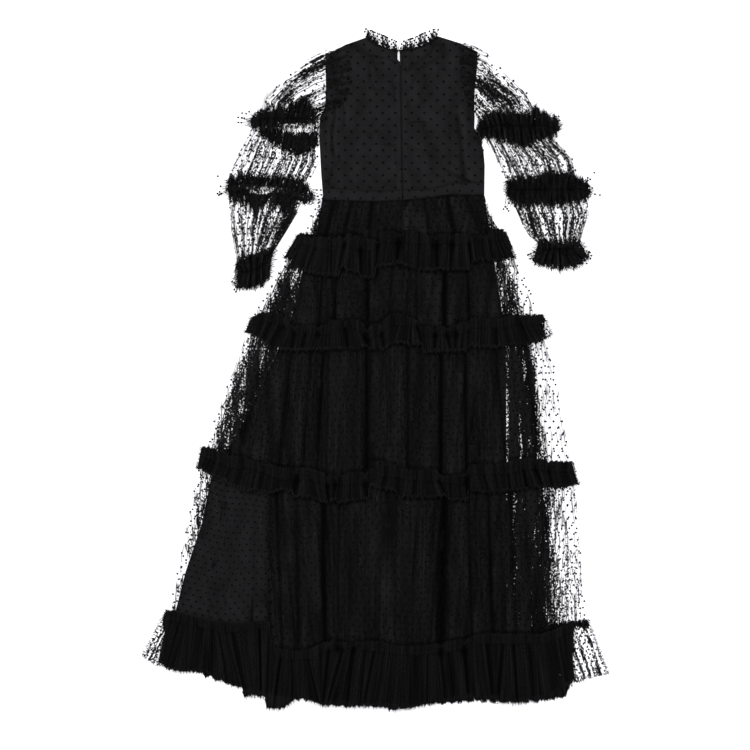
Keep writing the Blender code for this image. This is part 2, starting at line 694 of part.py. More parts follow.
def add_bodice():
    """Net, lining, waistband and neck frill of the bodice."""
    front = list(NECK_FRONT) + list(SHOULDER_RIGHT) + list(ARMHOLE_RIGHT[1:]) + list(SIDE_RIGHT[1:])
    front += list(reversed(SIDE_LEFT)) + list(reversed(ARMHOLE_LEFT[:-1])) + [SHOULDER_LEFT[0]]
    add_flat("bodice_net_front", front, FRONT_NET, NET)
    feet = (SIDE_LEFT[-1], SIDE_RIGHT[-1])
    lining_front = [(point[0], LINING_SEAM) if point in feet else point for point in front]
    add_flat("bodice_lining_front", lining_front, FRONT_LINING, LINING)

    for side, neck, shoulder, net_arm, arm, seam, slit in (
            ("left", NECK_LEFT, SHOULDER_LEFT, NET_ARMHOLE_LEFT, ARMHOLE_LEFT, SIDE_LEFT, SLIT_LEFT),
            ("right", tuple(reversed(NECK_RIGHT)), SHOULDER_RIGHT, NET_ARMHOLE_RIGHT, ARMHOLE_RIGHT,
             SIDE_RIGHT, SLIT_RIGHT)):
        outward = -1 if side == "left" else 1
        zip_edge = outward * (CHAIN_HALF + GAP)
        top = walk([net_arm[0]] + list(neck), BODICE_COLUMNS)
        bottom = walk([seam[-1], (zip_x(BODICE_FOOT) + zip_edge, BODICE_FOOT)], BODICE_COLUMNS)
        outer = walk(list(net_arm) + list(seam[1:]), BODICE_ROWS)
        along_zip = [slit[-1], (zip_x(BODICE_FOOT) + zip_edge, BODICE_FOOT)]
        centre = list(slit[::2]) + walk(along_zip, BODICE_ROWS - 2)
        grid = []
        for r, row in enumerate(patch(top, bottom, outer, centre)):
            swell = BODICE_CROWN * math.sin(math.pi * r / (BODICE_ROWS - 1))
            grid.append([(x, y, BACK_NET + swell * math.sin(math.pi * c / (BODICE_COLUMNS - 1)))
                         for c, (x, y) in enumerate(row)])
        add_folded("bodice_net_back_" + side, grid, NET)

        tape_edge = outward * (TAPE_HALF + GAP)
        tape_top = ZIP_TOP + 2 * GAP
        lining = list(neck) + [slit[1], slit[2], (zip_x(tape_top) + outward * GAP, tape_top)]
        lining += [(zip_x(tape_top) + tape_edge, tape_top), (zip_x(LINING_SEAM) + tape_edge, LINING_SEAM)]
        lining += [(seam[-1][0], LINING_SEAM)] + list(reversed(seam[:-1])) + list(reversed(arm[:-1]))
        lining += [shoulder[0]]
        add_flat("bodice_lining_back_" + side, lining, BACK_LINING, LINING)

        centre_top = (zip_x(BODICE_FOOT) + zip_edge, BODICE_FOOT + LAP)
        centre_foot = (zip_x(BAND_FOOT) + zip_edge, BAND_FOOT - LAP)
        band_line = [point for point in BAND_TOP if outward * (point[0] - centre_top[0]) > BAND_CLEAR]
        band_foot = [point for point in BAND_BOTTOM if outward * (point[0] - centre_foot[0]) > BAND_CLEAR]
        if side == "left":
            band = moved(band_line, y=LAP) + [centre_top, centre_foot]
            band += list(reversed(moved(band_foot, y=-LAP)))
        else:
            band = [centre_top] + moved(band_line, y=LAP)
            band += list(reversed(moved(band_foot, y=-LAP))) + [centre_foot]
        add_flat("waistband_back_" + side, band, BACK_LAP, BAND)

        frill_edge = NECK_FRILL_LEFT if side == "left" else tuple(reversed(NECK_FRILL_RIGHT))
        columns = NECK_FRILL_WAVES * COLUMNS_PER_WAVE + 1
        seam_line = moved(walk(neck, columns), y=-LAP)
        edge_line = walk(frill_edge, columns)
        frill = [[], []]
        for c in range(columns):
            edge_level = BACK_LAP + NECK_FRILL_LIFT + NECK_FRILL_RISE * wave_at(c)
            frill[0].append((*edge_line[c], edge_level))
            frill[1].append((*seam_line[c], BACK_LAP + STITCH_WAVE * wave_at(c)))
        add_folded("neck_frill_back_" + side, frill, NET)

    band = moved(BAND_TOP, y=LAP) + list(reversed(moved(BAND_BOTTOM, y=-LAP)))
    add_flat("waistband_front", band, FRONT_TRIM, BAND)
    inner_edge = moved(NECK_FRONT, y=-LAP)
    frill = list(NECK_FRILL_FRONT) + list(reversed(inner_edge))
    add_flat("neck_frill_front", frill, FRONT_TRIM, NET)


def side_points(sides, side, high, low):
    """Points of one side of the skirt between two heights."""
    inside = [row for row in sides if low < row.y < high]
    points = [(getattr(row, side), row.y) for row in inside]
    ends = [(read_table(sides, "y", side, y), y) for y in (high, low)]
    return [ends[0]] + points + [ends[1]]


def add_skirt_lining():
    """Front and back of the lining skirt, the back with a slot for the zip."""
    top_y = LINING_SEAM - GAP
    left = side_points(LINING_SIDES, "left", top_y, LINING_SIDES[-1].y)
    right = side_points(LINING_SIDES, "right", top_y, LINING_SIDES[-1].y)
    outline = left + list(LINING_HEM) + list(reversed(right))
    add_flat("skirt_lining_front", outline, FRONT_LINING, LINING)
    edge = TAPE_HALF + GAP
    slot_foot = ZIP_END - GAP
    slot = [(zip_x(top_y) + edge, top_y), (zip_x(slot_foot) + edge, slot_foot),
            (zip_x(slot_foot) - edge, slot_foot), (zip_x(top_y) - edge, top_y)]
    add_flat("skirt_lining_back", outline + slot, BACK_LINING, LINING)


def add_front_skirt():
    """Front tiers, which meet edge to edge, and the front halves of the ruffles under them."""
    for number, (above, below) in enumerate(zip(FRONT_SEAMS, FRONT_SEAMS[1:]), start=1):
        left = side_points(SKIRT_SIDES, "left", above[0] - GAP, below[0])
        right = side_points(SKIRT_SIDES, "right", above[1] - GAP, below[1])
        add_flat("tier_%d_front" % number, left + list(reversed(right)), FRONT_NET, NET)
    for name, header, hem in FRONT_RUFFLES:
        add_flat(name, list(header) + list(hem), FRONT_TRIM, RUFFLE)


def add_back_skirt():
    """Back tiers, gathered into deep folds, and the ruffles over their seams."""
    left_end = [side_column("left", 0.0, 0.0), side_column("left", SIDE_ROUND, SIDE_ROUND_RISE)]
    right_end = [side_column("right", -SIDE_ROUND, SIDE_ROUND_RISE), side_column("right", 0.0, 0.0)]

    def waist(x):
        rows = [Side(y, x_here, 0) for x_here, y in BAND_BOTTOM]
        return read_table(rows, "left", "y", x)

    def seam(line):
        return lambda x: seam_y(line, x)

    edge = CHAIN_HALF + GAP
    upper_rows = (Row(0.5, 4.0),)
    to_zip = [zip_column(-SIDE_ROUND, SIDE_ROUND_RISE), zip_column(-edge, 0.0)]
    from_zip = [zip_column(edge, 0.0), zip_column(SIDE_ROUND, SIDE_ROUND_RISE)]
    left_folds = [fold for fold in TIER_1_FOLDS if fold.x_top < ZIP_TOP_X]
    right_folds = [fold for fold in TIER_1_FOLDS if fold.x_top > ZIP_TOP_X]
    grid = tier_grid(waist, seam(RUFFLE_1), fold_columns(left_folds, left_end, to_zip), upper_rows)
    add_folded("tier_1_back_left", grid, NET)
    grid = tier_grid(waist, seam(RUFFLE_1), fold_columns(right_folds, from_zip, right_end), upper_rows)
    add_folded("tier_1_back_right", grid, NET)

    tiers = (
        Tier("tier_2_back", RUFFLE_1, RUFFLE_2, TIER_2_FOLDS, (Row(0.38, 3.0), Row(0.75, 6.5))),
        Tier("tier_3_back", RUFFLE_2, RUFFLE_3, TIER_3_FOLDS, (Row(0.17, 3.0), Row(0.55, 8.0))),
        Tier("tier_4_back", RUFFLE_3, HEM_RUFFLE, TIER_4_FOLDS,
             (Row(0.14, 3.0), Row(0.45, 9.0), Row(0.8, 6.5))),
    )
    for tier in tiers:
        columns = fold_columns(tier.folds, left_end, right_end)
        grid = tier_grid(seam(tier.top), seam(tier.bottom), columns, tier.rows)
        add_folded(tier.name, grid, NET)
    for ruffle in BACK_RUFFLES:
        add_folded(ruffle.name + "_back", ruffle_grid(ruffle), RUFFLE)


def add_sleeve(sleeve):
    """Both halves of a sleeve: three puffs, two gathered rings and the cuff."""
    toward_body = 1 if sleeve.side == "left" else -1
    for puff in sleeve.puffs:
        add_folded("sleeve_%s_%s_back" % (sleeve.side, puff.name), puff_grid(sleeve, puff), NET)
        outer = list(puff.outer)
        inner = list(puff.inner)
        if puff.name == "upper":
            arm = moved(sleeve.armhole, x=-GAP * toward_body)
            outer = [point for point in outer if toward_body * (arm[0][0] - point[0]) > 4.0]
            inner = arm + [(sleeve.puffs[1].inner[0])]
        else:
            outer[0] = (outer[0][0], outer[0][1] - GAP)
            inner[0] = (inner[0][0], inner[0][1] - GAP)
        add_flat("sleeve_%s_%s_front" % (sleeve.side, puff.name), outer + list(reversed(inner)),
                 FRONT_NET, NET)
    for ring in sleeve.rings:
        add_folded("sleeve_%s_%s_back" % (sleeve.side, ring.name), ring_grid(ring), RUFFLE)
    for ring in sleeve.front_rings:
        add_flat("sleeve_%s_%s_front" % (sleeve.side, ring.name),
                 list(ring.top) + list(reversed(ring.bottom)), FRONT_TRIM, RUFFLE)
    add_folded("cuff_%s_back" % sleeve.side, cuff_grid(sleeve.cuff), RUFFLE)
    cuff = sleeve.cuff
    outline = list(cuff.header) + [cuff.waist[-1]] + list(reversed(cuff.hem)) + [cuff.waist[0]]
    add_flat("cuff_%s_front" % sleeve.side, outline, FRONT_TRIM, RUFFLE)


def add_zip():
    """Concealed zip: the tape with its closed chain, the slider, and the pull on its hinge."""
    section = ((-TAPE_HALF, BACK_LINING), (TAPE_HALF, BACK_LINING), (TAPE_HALF, BACK_LINING + CLOTH),
               (CHAIN_HALF, BACK_LINING + CLOTH), (CHAIN_HALF, BACK_NET + CLOTH),
               (-CHAIN_HALF, BACK_NET + CLOTH), (-CHAIN_HALF, BACK_LINING + CLOTH),
               (-TAPE_HALF, BACK_LINING + CLOTH))
    builder = bmesh.new()
    ends = [[builder.verts.new((zip_x(y) + x, y, z)) for x, z in section] for y in (ZIP_TOP, ZIP_END)]
    builder.faces.new(ends[0])
    builder.faces.new(list(reversed(ends[1])))
    count = len(section)
    for index in range(count):
        after = (index + 1) % count
        builder.faces.new((ends[0][index], ends[1][index], ends[1][after], ends[0][after]))
    builder.normal_update()
    bmesh.ops.triangulate(builder, faces=builder.faces)
    add_object("zip_tape", builder, TAPE)

    add_flat("neck_hook", [(x + HOOK_AT[0], y + HOOK_AT[1]) for x, y in HOOK_FORM], BACK_LAP, ZIP_METAL,
             wall=HOOK_WALL)
    pivot = Vector((zip_x(PULL_PIVOT_Y), PULL_PIVOT_Y, PULL_PIVOT_Z))
    base_low = BACK_NET + CLOTH + GAP
    base = (base_low, base_low + SLIDER_WALL)
    across, along = SLIDER_HALF
    slider = add_box("zip_slider", pivot, (-across, across), (-along, along), base, ZIP_METAL)
    bridge = tuple(PULL_PIVOT_Z + height for height in CROWN_BRIDGE)
    leg = ((base[0] + base[1]) / 2, (bridge[0] + bridge[1]) / 2)
    near, far = CROWN_LEG
    for span, heights in (((-far, -near), leg), ((near, far), leg), ((-far, far), bridge)):
        crown = add_box("crown_part", pivot, (-CROWN_HALF, CROWN_HALF), span, heights, ZIP_METAL)
        combine(slider, crown, "UNION")

    outline = [(row.half, row.along) for row in PULL_FORM]
    outline += [(-row.half, row.along) for row in reversed(PULL_FORM)]
    pull = add_flat("zip_pull", outline, -PULL_WALL / 2, ZIP_METAL, wall=PULL_WALL)
    eye = add_box("pull_eye", Vector((0, 0, 0)), *PULL_EYE, (-PULL_WALL, PULL_WALL), ZIP_METAL)
    combine(pull, eye, "DIFFERENCE")
    pull.data.transform(Matrix.Rotation(PULL_REST_TILT, 4, "X"))
    pull.location = pivot * MILLIMETRE


def add_box(name, centre, across, along, heights, finish):
    """A box about a centre across and along, at the given heights."""
    builder = bmesh.new()
    bmesh.ops.create_cube(builder, size=1.0)
    size = (across[1] - across[0], along[1] - along[0], heights[1] - heights[0])
    middle = (centre.x + sum(across) / 2, centre.y + sum(along) / 2, sum(heights) / 2)
    bmesh.ops.scale(builder, vec=size, verts=builder.verts)
    bmesh.ops.translate(builder, vec=middle, verts=builder.verts)
    return add_object(name, builder, finish)


def combine(item, tool, operation):
    """Joins or cuts an item with a tool, bakes the result and removes the tool."""
    modifier = item.modifiers.new("combine", "BOOLEAN")
    modifier.operation = operation
    modifier.object = tool
    modifier.solver = "EXACT"
    view = bpy.context.evaluated_depsgraph_get()
    result = bpy.data.meshes.new_from_object(item.evaluated_get(view))
    item.modifiers.clear()
    item.data = result
    bpy.data.objects.remove(tool, do_unlink=True)


def main():
    """Builds the whole dress."""
    clear_scene()
    add_bodice()
    add_skirt_lining()
    add_front_skirt()
    add_back_skirt()
    add_sleeve(LEFT_SLEEVE)
    add_sleeve(RIGHT_SLEEVE)
    add_zip()


main()
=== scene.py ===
"""A long black dress of dotted net over a lining, laid flat on its front.

The tables are in millimetres and the meshes in metres. x runs across the dress as it is seen,
y from the hem to the neck and z up from the floor.
"""
import math
from collections import namedtuple

import bmesh
import bpy
import numpy as np
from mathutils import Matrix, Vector
from mathutils.bvhtree import BVHTree


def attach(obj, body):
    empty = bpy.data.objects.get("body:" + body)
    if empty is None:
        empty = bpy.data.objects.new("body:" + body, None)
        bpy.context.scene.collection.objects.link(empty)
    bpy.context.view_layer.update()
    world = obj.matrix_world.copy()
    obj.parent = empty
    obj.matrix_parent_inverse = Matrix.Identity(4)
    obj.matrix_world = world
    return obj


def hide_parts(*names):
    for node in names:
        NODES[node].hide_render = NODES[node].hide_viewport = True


MM = 0.001

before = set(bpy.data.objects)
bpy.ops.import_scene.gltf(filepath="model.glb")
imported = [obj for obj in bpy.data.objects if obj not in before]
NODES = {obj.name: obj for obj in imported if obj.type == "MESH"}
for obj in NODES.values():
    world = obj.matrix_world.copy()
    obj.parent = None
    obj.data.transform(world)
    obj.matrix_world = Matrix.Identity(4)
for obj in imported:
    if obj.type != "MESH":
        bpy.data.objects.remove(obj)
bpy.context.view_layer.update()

# Photograph's pixels to millimetres on the dress
PHOTO = 750
PIXEL = 2.3
PIXEL_X = 375.5
PIXEL_Y = 370.0

# Heights over the floor
HALF_WALL = 0.5             # from the top of a solid down to its middle, where the cloth lies
FRONT_NET_TOP = 2.3
FRONT_TRIM_LEVEL = 0.3      # of the front's ruffles, rings and cuffs
LINING_TOP = 4.9            # of the back lining, beside the zip

# Zip, which slants a little to the right as it runs down
ZIP_TOP = 706.0
ZIP_TOP_X = 57.4
ZIP_SLANT = 0.0145
ZIP_END = 322.0
TAPE_HALF = 12.0
EDGE_BY_ZIP = 0.95          # from the middle of the zip to the edge of the net
COIL_WIDTH = 1.25
COIL_PITCH = 0.95

# Cloth
LAP = 3.0                   # how far a piece runs on past its seam
TIER_STEP = 3.4             # between the columns of a tier or a puff
PUFF_ROW = 4.0              # between the rows of a puff
PLEAT_STEP = 1.3            # between the columns of a pleated strip
FRILL_STEP = 1.6            # between the columns of the neck frill
PUFF_GATHERS = 26.0         # how far the gathers run from a puff's seam
CLOTH_SHIFT = (371.0, 173.0)  # moves the weave on from one piece to the next
ROOT = 7.0                  # length of a loose thread that lies hidden in the cloth
THREAD_HALF = 0.75

# Dots: their form, and the spacing across and down each kind of cloth
DOT_LIFT = 0.35
DOT_RADIUS = 2.4
BODICE_DOTS = (29.0, 14.3)
TIER_DOTS = (17.5, 14.3)
FRONT_DOTS = (19.5, 15.8)
PUFF_DOTS = (16.5, 12.5)
STRIP_DOTS = (12.0, 10.0)
FRILL_DOTS = (10.0, 6.5)

# How much wider a gathered cloth is cut than it lies
TIER_FULLNESS = 1.25
STRIP_FULLNESS = 1.3
FRONT_FULLNESS = 1.15
PUFF_FULLNESS = 1.2

Side = namedtuple("Side", "y left right")
SKIRT_SIDES = (
    Side(405, -121, 250), Side(359, -148, 268), Side(299, -178, 300), Side(248, -215, 325),
    Side(205, -240, 348), Side(110, -286, 383), Side(-2, -328, 413), Side(-78, -360, 425),
    Side(-195, -397, 445), Side(-269, -417, 459), Side(-465, -457, 475), Side(-552, -473, 482),
    Side(-660, -486, 492),
)
LINING_SIDES = (
    Side(402, -121, 250), Side(306, -138, 264), Side(230, -167, 275), Side(126, -191, 292),
    Side(44, -224, 300), Side(-113, -300, 301), Side(-251, -379, 301), Side(-352, -399, 302),
    Side(-462, -436, 302), Side(-552, -459, 302), Side(-644, -468, 305),
)

# Stitch lines of the waist and the ruffles, across and up
BAND_TOP = ((-120, 416), (1, 409), (59, 412), (118, 412), (178, 427), (249, 429))
WAIST = ((-121, 394), (2, 390), (60, 393), (118, 398), (169, 406), (250, 405))
RUFFLE_1 = (
    (-174, 297), (-137, 283), (-98, 276), (-70, 290), (-31, 276), (-3, 278), (10, 294), (49, 296),
    (109, 292), (215, 292), (224, 301), (293, 301),
)
RUFFLE_2 = (
    (-282, 106), (-250, 115), (-199, 99), (-183, 84), (-107, 84), (-98, 97), (-45, 97), (-20, 74), (10, 83),
    (36, 106), (98, 102), (107, 83), (171, 82), (215, 90), (224, 101), (291, 99), (316, 108), (344, 105),
    (381, 110),
)
RUFFLE_3 = (
    (-397, -193), (-339, -221), (-286, -224), (-213, -250), (-137, -248), (-114, -262), (-26, -258),
    (10, -243), (45, -243), (82, -251), (141, -251), (160, -258), (201, -258), (217, -237), (302, -237),
    (344, -225), (394, -229), (450, -231),
)
HEM_RUFFLE = (
    (-477, -570), (-422, -582), (-362, -598), (-323, -600), (-286, -591), (-245, -591), (-234, -653),
    (-199, -662), (-153, -662), (-116, -644), (-79, -635), (8, -644), (43, -649), (93, -653), (206, -639),
    (252, -626), (316, -626), (388, -626), (417, -614), (454, -596),
)

# Lower edges of the ruffles, in the photograph's pixels
EDGE_1 = (
    (289, 268), (305, 272), (320, 276), (338, 277), (339.5, 268), (350, 271), (358, 274), (361, 278),
    (374, 279), (375.5, 268), (385, 266), (395.5, 266), (397, 263), (405, 266), (412, 269), (420, 271),
    (436, 271), (437, 270), (470.5, 271), (472, 263), (485, 260), (492, 262), (516, 259),
)
EDGE_2 = (
    (252, 337), (258, 338), (263, 343), (271, 349), (292, 351), (325, 350), (348, 349.5), (357, 350),
    (367, 346), (369, 350), (379, 350), (383, 351), (390, 344), (403, 343), (409, 346), (422, 345),
    (423.5, 353), (452, 352), (467, 351), (468.5, 346), (480, 348), (495, 348), (509, 346), (530, 345),
    (540, 343), (552, 336),
)
EDGE_3 = (
    (199, 468), (210, 475), (222, 479), (230, 485), (242, 489), (246, 492), (254, 490), (262, 492),
    (270, 494), (280, 490), (292, 492), (293.5, 497), (311, 497), (319, 501), (329, 503), (331, 500),
    (340, 503), (351, 501), (368, 499), (369.5, 485), (376, 488), (386, 489), (396, 492), (400, 500),
    (403, 497), (414, 498), (441, 497), (446, 495), (448, 500), (467, 501), (468.5, 491), (483, 492),
    (492, 493), (506, 491), (520, 490), (535, 488), (545, 487), (556, 489), (566, 488), (578.5, 484),
)
EDGE_HEM = (
    (158, 663), (163, 664), (167, 668), (175, 671), (190, 672), (199, 670), (210, 672), (213, 678),
    (222, 680), (229, 684), (238, 686), (243, 687), (244.5, 697), (253, 695), (260, 697), (265, 696),
    (267, 708), (278, 709), (284, 708), (290, 703), (296, 699), (303, 698), (310, 700), (316, 703),
    (325, 705), (350, 707), (362, 706), (372, 707), (383, 707), (391, 710), (402, 709), (412, 708),
    (422, 705.5), (432, 703), (440, 702), (450, 699), (458, 697), (463, 698), (470, 695.5), (478, 697),
    (485, 699), (492, 697), (498, 697), (499.5, 702), (518, 702), (526, 700), (533, 698), (546, 696),
    (552, 692), (557, 690), (561, 686), (568, 684), (572, 681),
)

# Tops of their standing headers, in the same pixels
TOP_1 = (
    (299, 231), (309, 238), (322, 236), (344, 236), (347, 232), (361, 235), (363, 238), (379, 240),
    (381, 231), (396, 231), (402, 233), (410, 230), (420, 234), (434, 236), (438, 234), (452, 233),
    (468, 234), (470, 236), (488, 235), (490, 228), (500, 229),
)
TOP_2 = (
    (254, 316), (262, 312), (280, 313), (288, 316), (290, 325), (327, 325), (330, 320), (356, 319),
    (369, 322), (379, 322), (390, 313), (398, 312), (405, 315), (417, 319), (419, 326), (450, 326),
    (456, 322), (468, 322), (470, 317), (500, 318), (510, 315), (520, 314), (541, 317),
)
TOP_3 = (
    (204, 446), (228, 449), (232, 455), (245, 456), (255, 461), (268, 463), (285, 466), (300, 466),
    (315, 469), (327, 473), (345, 474), (350, 471), (364, 470), (371, 458), (385, 460), (395, 464),
    (398, 467), (410, 469), (438, 469), (441, 475), (463, 473), (469, 464), (500, 463), (512, 458),
    (536, 457), (548, 460), (570, 461),
)
TOP_HEM = (
    (170, 611), (185, 613), (198, 617), (214, 620), (240, 623), (250, 621), (269.5, 620), (271.5, 646),
    (285, 648), (300, 650), (308, 648), (320, 643), (333, 638), (345, 641), (350, 642), (358, 640),
    (378, 640), (392, 643), (402, 645), (425, 644), (437, 642), (455, 639), (470, 636), (478, 633),
    (490, 632), (540, 633), (555, 628), (570, 622),
)

# Folds of each ruffle, in the photograph's pixels: across at the seam and at the lower edge, half
# the width, the depth (below nought for a lit crest) and the size of the opening at the seam
Rib = namedtuple("Rib", "seam hem half_width depth opening", defaults=(0,))


def ribs(*rows):
    return [Rib(*row) for row in rows]


RIBS_1 = ribs(
    (299.8, 289, 1, 0), (305, 296, 1.2, 0.3), (310, 302.5, 0.8, 0.35), (316, 306, 1, 0.3),
    (331, 331, 1, 0.3), (344, 338, 1.5, 0.6, 1.5), (360.5, 361.5, 1.3, 0.85, 2.2), (369.5, 370, 1, 0.8),
    (377.5, 374.5, 1.5, 0.6, 1.8), (398.5, 396, 1.5, 1, 3.2), (436, 436.5, 1.5, 0.85, 3),
    (451.5, 450, 1.2, 0.9, 2.8), (469, 471.5, 1.3, 1, 1.2), (487, 490, 0.7, -0.4), (489, 492.5, 1.2, 0.5),
    (503, 516, 1, 0),
)
RIBS_2 = ribs(
    (253, 252, 1, 0), (271, 262, 1.5, 0.5), (284, 271, 3, 0.6, 1), (295, 291, 1.6, 0.8, 1),
    (305.5, 302, 1.1, 0.75, 0.8), (318, 312, 1, 0.5, 2), (327, 325, 1, 0.5), (345, 348, 1.3, 0.85, 0.8),
    (357.5, 361, 1.2, 0.5), (359.5, 366.5, 0.6, -0.5), (366, 368.5, 2.2, 0.9, 3), (381, 384, 1.6, 0.8, 1.5),
    (398, 392, 1, 0.4), (411, 409, 1, 0.5), (417, 423, 2, 0.85, 1.2), (435.5, 434, 1.2, 0.85, 2),
    (447, 451, 1, 0.8, 2.6), (456, 455, 1, 0.7, 2.4), (462, 461, 0.8, 0.6), (468, 467, 1.1, 0.6, 0.8),
    (495, 495, 2.5, 0.6), (505, 510, 0.8, 0.3), (521, 529, 1.4, 0.8, 1), (541, 552, 1, 0),
)
RIBS_3 = ribs(
    (203, 199, 1, 0), (211, 205, 4, 0.3), (231, 226, 1.5, 0.4), (241, 235, 1, 0.3), (262, 258.5, 2, 0.4),
    (278, 276, 12, 0.22), (296.5, 293, 1.5, 0.85, 2.8), (312, 318, 1.2, 0.6), (327, 329, 1.5, 0.9, 1.5),
    (335.5, 333, 1.1, 0.85, 2), (350, 350, 0.8, 0.3), (365, 367.5, 2, 0.9, 1.5), (372, 369.8, 1, -0.3),
    (383, 380, 1, 0.3), (398, 398, 4, 0.35), (407, 403, 0.7, -0.45), (414.5, 413, 1.2, 0.6),
    (439, 446, 2, 0.9, 1.2), (451, 451, 1, 0.4), (466, 468, 1.4, 0.95, 2.5), (481.5, 486, 0.7, -0.5),
    (483.5, 488.5, 1.5, 0.5), (508, 510, 1, 0.5), (515, 518, 1, 0.4), (523, 527, 1.5, 0.8),
    (535, 542, 1.2, 0.85, 1.5), (548, 552, 1.3, 0.8, 1), (560, 564, 8, 0.2), (571, 578.5, 1, 0),
)
RIBS_HEM = ribs(
    (168, 158, 1, 0), (179, 167, 1.3, 0.6), (182, 170, 0.8, -0.3), (184.5, 173, 0.8, 0.3),
    (190, 185, 0.8, -0.25), (202, 195, 2.6, 0.6), (209.5, 208, 0.8, -0.3), (212, 213, 1, 0.4),
    (216, 220, 0.8, -0.35), (219, 228, 1.3, 0.6), (225, 237, 0.9, -0.3), (229, 243, 0.8, -0.3),
    (233, 246, 2.4, 0.7), (243, 251, 0.8, -0.25), (254, 255.5, 1, -0.25), (259.5, 261.5, 1.4, 0.95),
    (262.5, 263.5, 0.8, -0.3), (269.5, 266.5, 1, 0.5), (281, 274, 1.3, 0.9), (292, 293, 1, 0.6),
    (300, 301, 0.8, 0.3), (308, 319, 0.9, 0.5), (316, 321.5, 0.8, 0.3), (329, 323, 1.5, 0.85, 1.2),
    (338, 324.5, 1, -0.3, 2.5), (344, 327, 1.5, 0.8), (347.5, 330, 0.8, -0.3), (354, 346.5, 1.5, 0.75, 1.8),
    (358, 350, 0.8, -0.3), (365, 360, 1, 0.5), (374, 363.5, 1.5, 0.85), (380, 369, 0.8, -0.3),
    (383, 377, 0.9, 0.4), (387, 380, 0.8, -0.25), (396, 391, 0.9, -0.25), (406, 408, 0.8, -0.2),
    (416, 414, 5, 0.5), (427, 427, 1, 0.55), (432, 433, 0.8, -0.25), (440.5, 446, 1, 0.5, 2.6),
    (448, 453, 3, 0.6), (464, 468, 1.3, 0.9, 3), (474, 477, 0.8, -0.3), (484, 490, 0.9, -0.25),
    (487, 492.5, 1.8, 0.85), (495, 495.5, 3, 0.4), (503, 498, 1.8, 0.85), (505, 500, 0.8, -0.35),
    (513, 517, 1.4, 0.9), (515.5, 519, 0.8, -0.35), (529, 534, 2, 0.6), (538, 545, 0.8, -0.35),
    (550, 556, 8, 0.2), (556, 564, 0.9, -0.35), (559, 566.5, 1.3, 0.5), (573, 572, 1, 0),
)

# Ruffles of the back and front, which look sheer beyond two columns of the photograph
BackRuffle = namedtuple("BackRuffle", "name line edge ribs top sheer_left sheer_right")
BACK_RUFFLES = (
    BackRuffle("ruffle_1", RUFFLE_1, EDGE_1, RIBS_1, TOP_1, 270, 530),
    BackRuffle("ruffle_2", RUFFLE_2, EDGE_2, RIBS_2, TOP_2, 240, 541),
    BackRuffle("ruffle_3", RUFFLE_3, EDGE_3, RIBS_3, TOP_3, 180, 590),
    BackRuffle("hem_ruffle", HEM_RUFFLE, EDGE_HEM, RIBS_HEM, TOP_HEM, 160, 573),
)
FrontRuffle = namedtuple("FrontRuffle", "name header hem sheer_left sheer_right")
FRONT_RUFFLES = (
    FrontRuffle("ruffle_1_front", ((-180, 312), (60, 318), (300, 318)),
                ((-215, 258), (-150, 236), (-60, 232), (100, 244), (250, 246), (324, 262)), 270, 530),
    FrontRuffle("ruffle_2_front", ((-288, 122), (50, 118), (385, 128)),
                ((-303, 86), (-240, 70), (-100, 58), (100, 60), (300, 62), (408, 84)), 240, 541),
    FrontRuffle("ruffle_3_front", ((-402, -176), (-200, -234), (200, -236), (455, -212)),
                ((-414, -226), (-340, -252), (-250, -282), (-60, -292), (200, -290), (380, -266),
                 (468, -262)), 180, 590),
    FrontRuffle("hem_ruffle_front", ((-482, -551), (-243, -578), (56, -620), (489, -573)),
                ((-538, -657), (-509, -678), (-429, -690), (-312, -730), (-174, -758), (56, -768),
                 (114, -770), (229, -762), (340, -766), (398, -759), (438, -752), (448, -722),
                 (503, -706), (538, -699)), 167, 571),
)

# Deep folds of each tier: across at its top and bottom, half width and depth
Fold = namedtuple("Fold", "x_top x_bottom half_width depth")
TIER_1_FOLDS = (
    Fold(-92, -123, 7, 0.7), Fold(-54, -82, 8, 0.8), Fold(-8, -22, 8, 0.8), Fold(112, 125, 8, 0.7),
    Fold(162, 185, 8, 0.8), Fold(205, 246, 7, 0.7),
)
TIER_2_FOLDS = (
    Fold(-150, -228, 9, 0.5), Fold(-118, -132, 7, 0.8), Fold(-88, -94, 7, 0.8), Fold(-19, -20, 12, 1.0),
    Fold(43, 29, 8, 0.7), Fold(95, 95, 8, 0.6), Fold(158, 158, 14, 1.0), Fold(208, 217, 8, 0.9),
    Fold(262, 310, 9, 0.5),
)
TIER_3_FOLDS = (
    Fold(-240, -320, 12, 0.5), Fold(-190, -224, 12, 0.7), Fold(-148, -168, 8, 0.8),
    Fold(-118, -136, 8, 0.9), Fold(-20, -20, 14, 1.0), Fold(74, 74, 10, 0.8), Fold(150, 150, 14, 1.0),
    Fold(204, 209, 9, 0.9), Fold(270, 300, 10, 0.6), Fold(330, 384, 10, 0.6),
)
TIER_4_FOLDS = (
    Fold(-335, -390, 10, 0.5), Fold(-270, -286, 8, 0.6), Fold(-228, -214, 7, 0.8), Fold(-182, -176, 8, 0.6),
    Fold(-122, -116, 13, 1.0), Fold(-84, -86, 8, 0.7), Fold(158, 152, 26, 1.0), Fold(213, 220, 8, 0.8),
    Fold(256, 270, 10, 0.9), Fold(309, 322, 10, 0.7), Fold(384, 412, 10, 0.6),
)

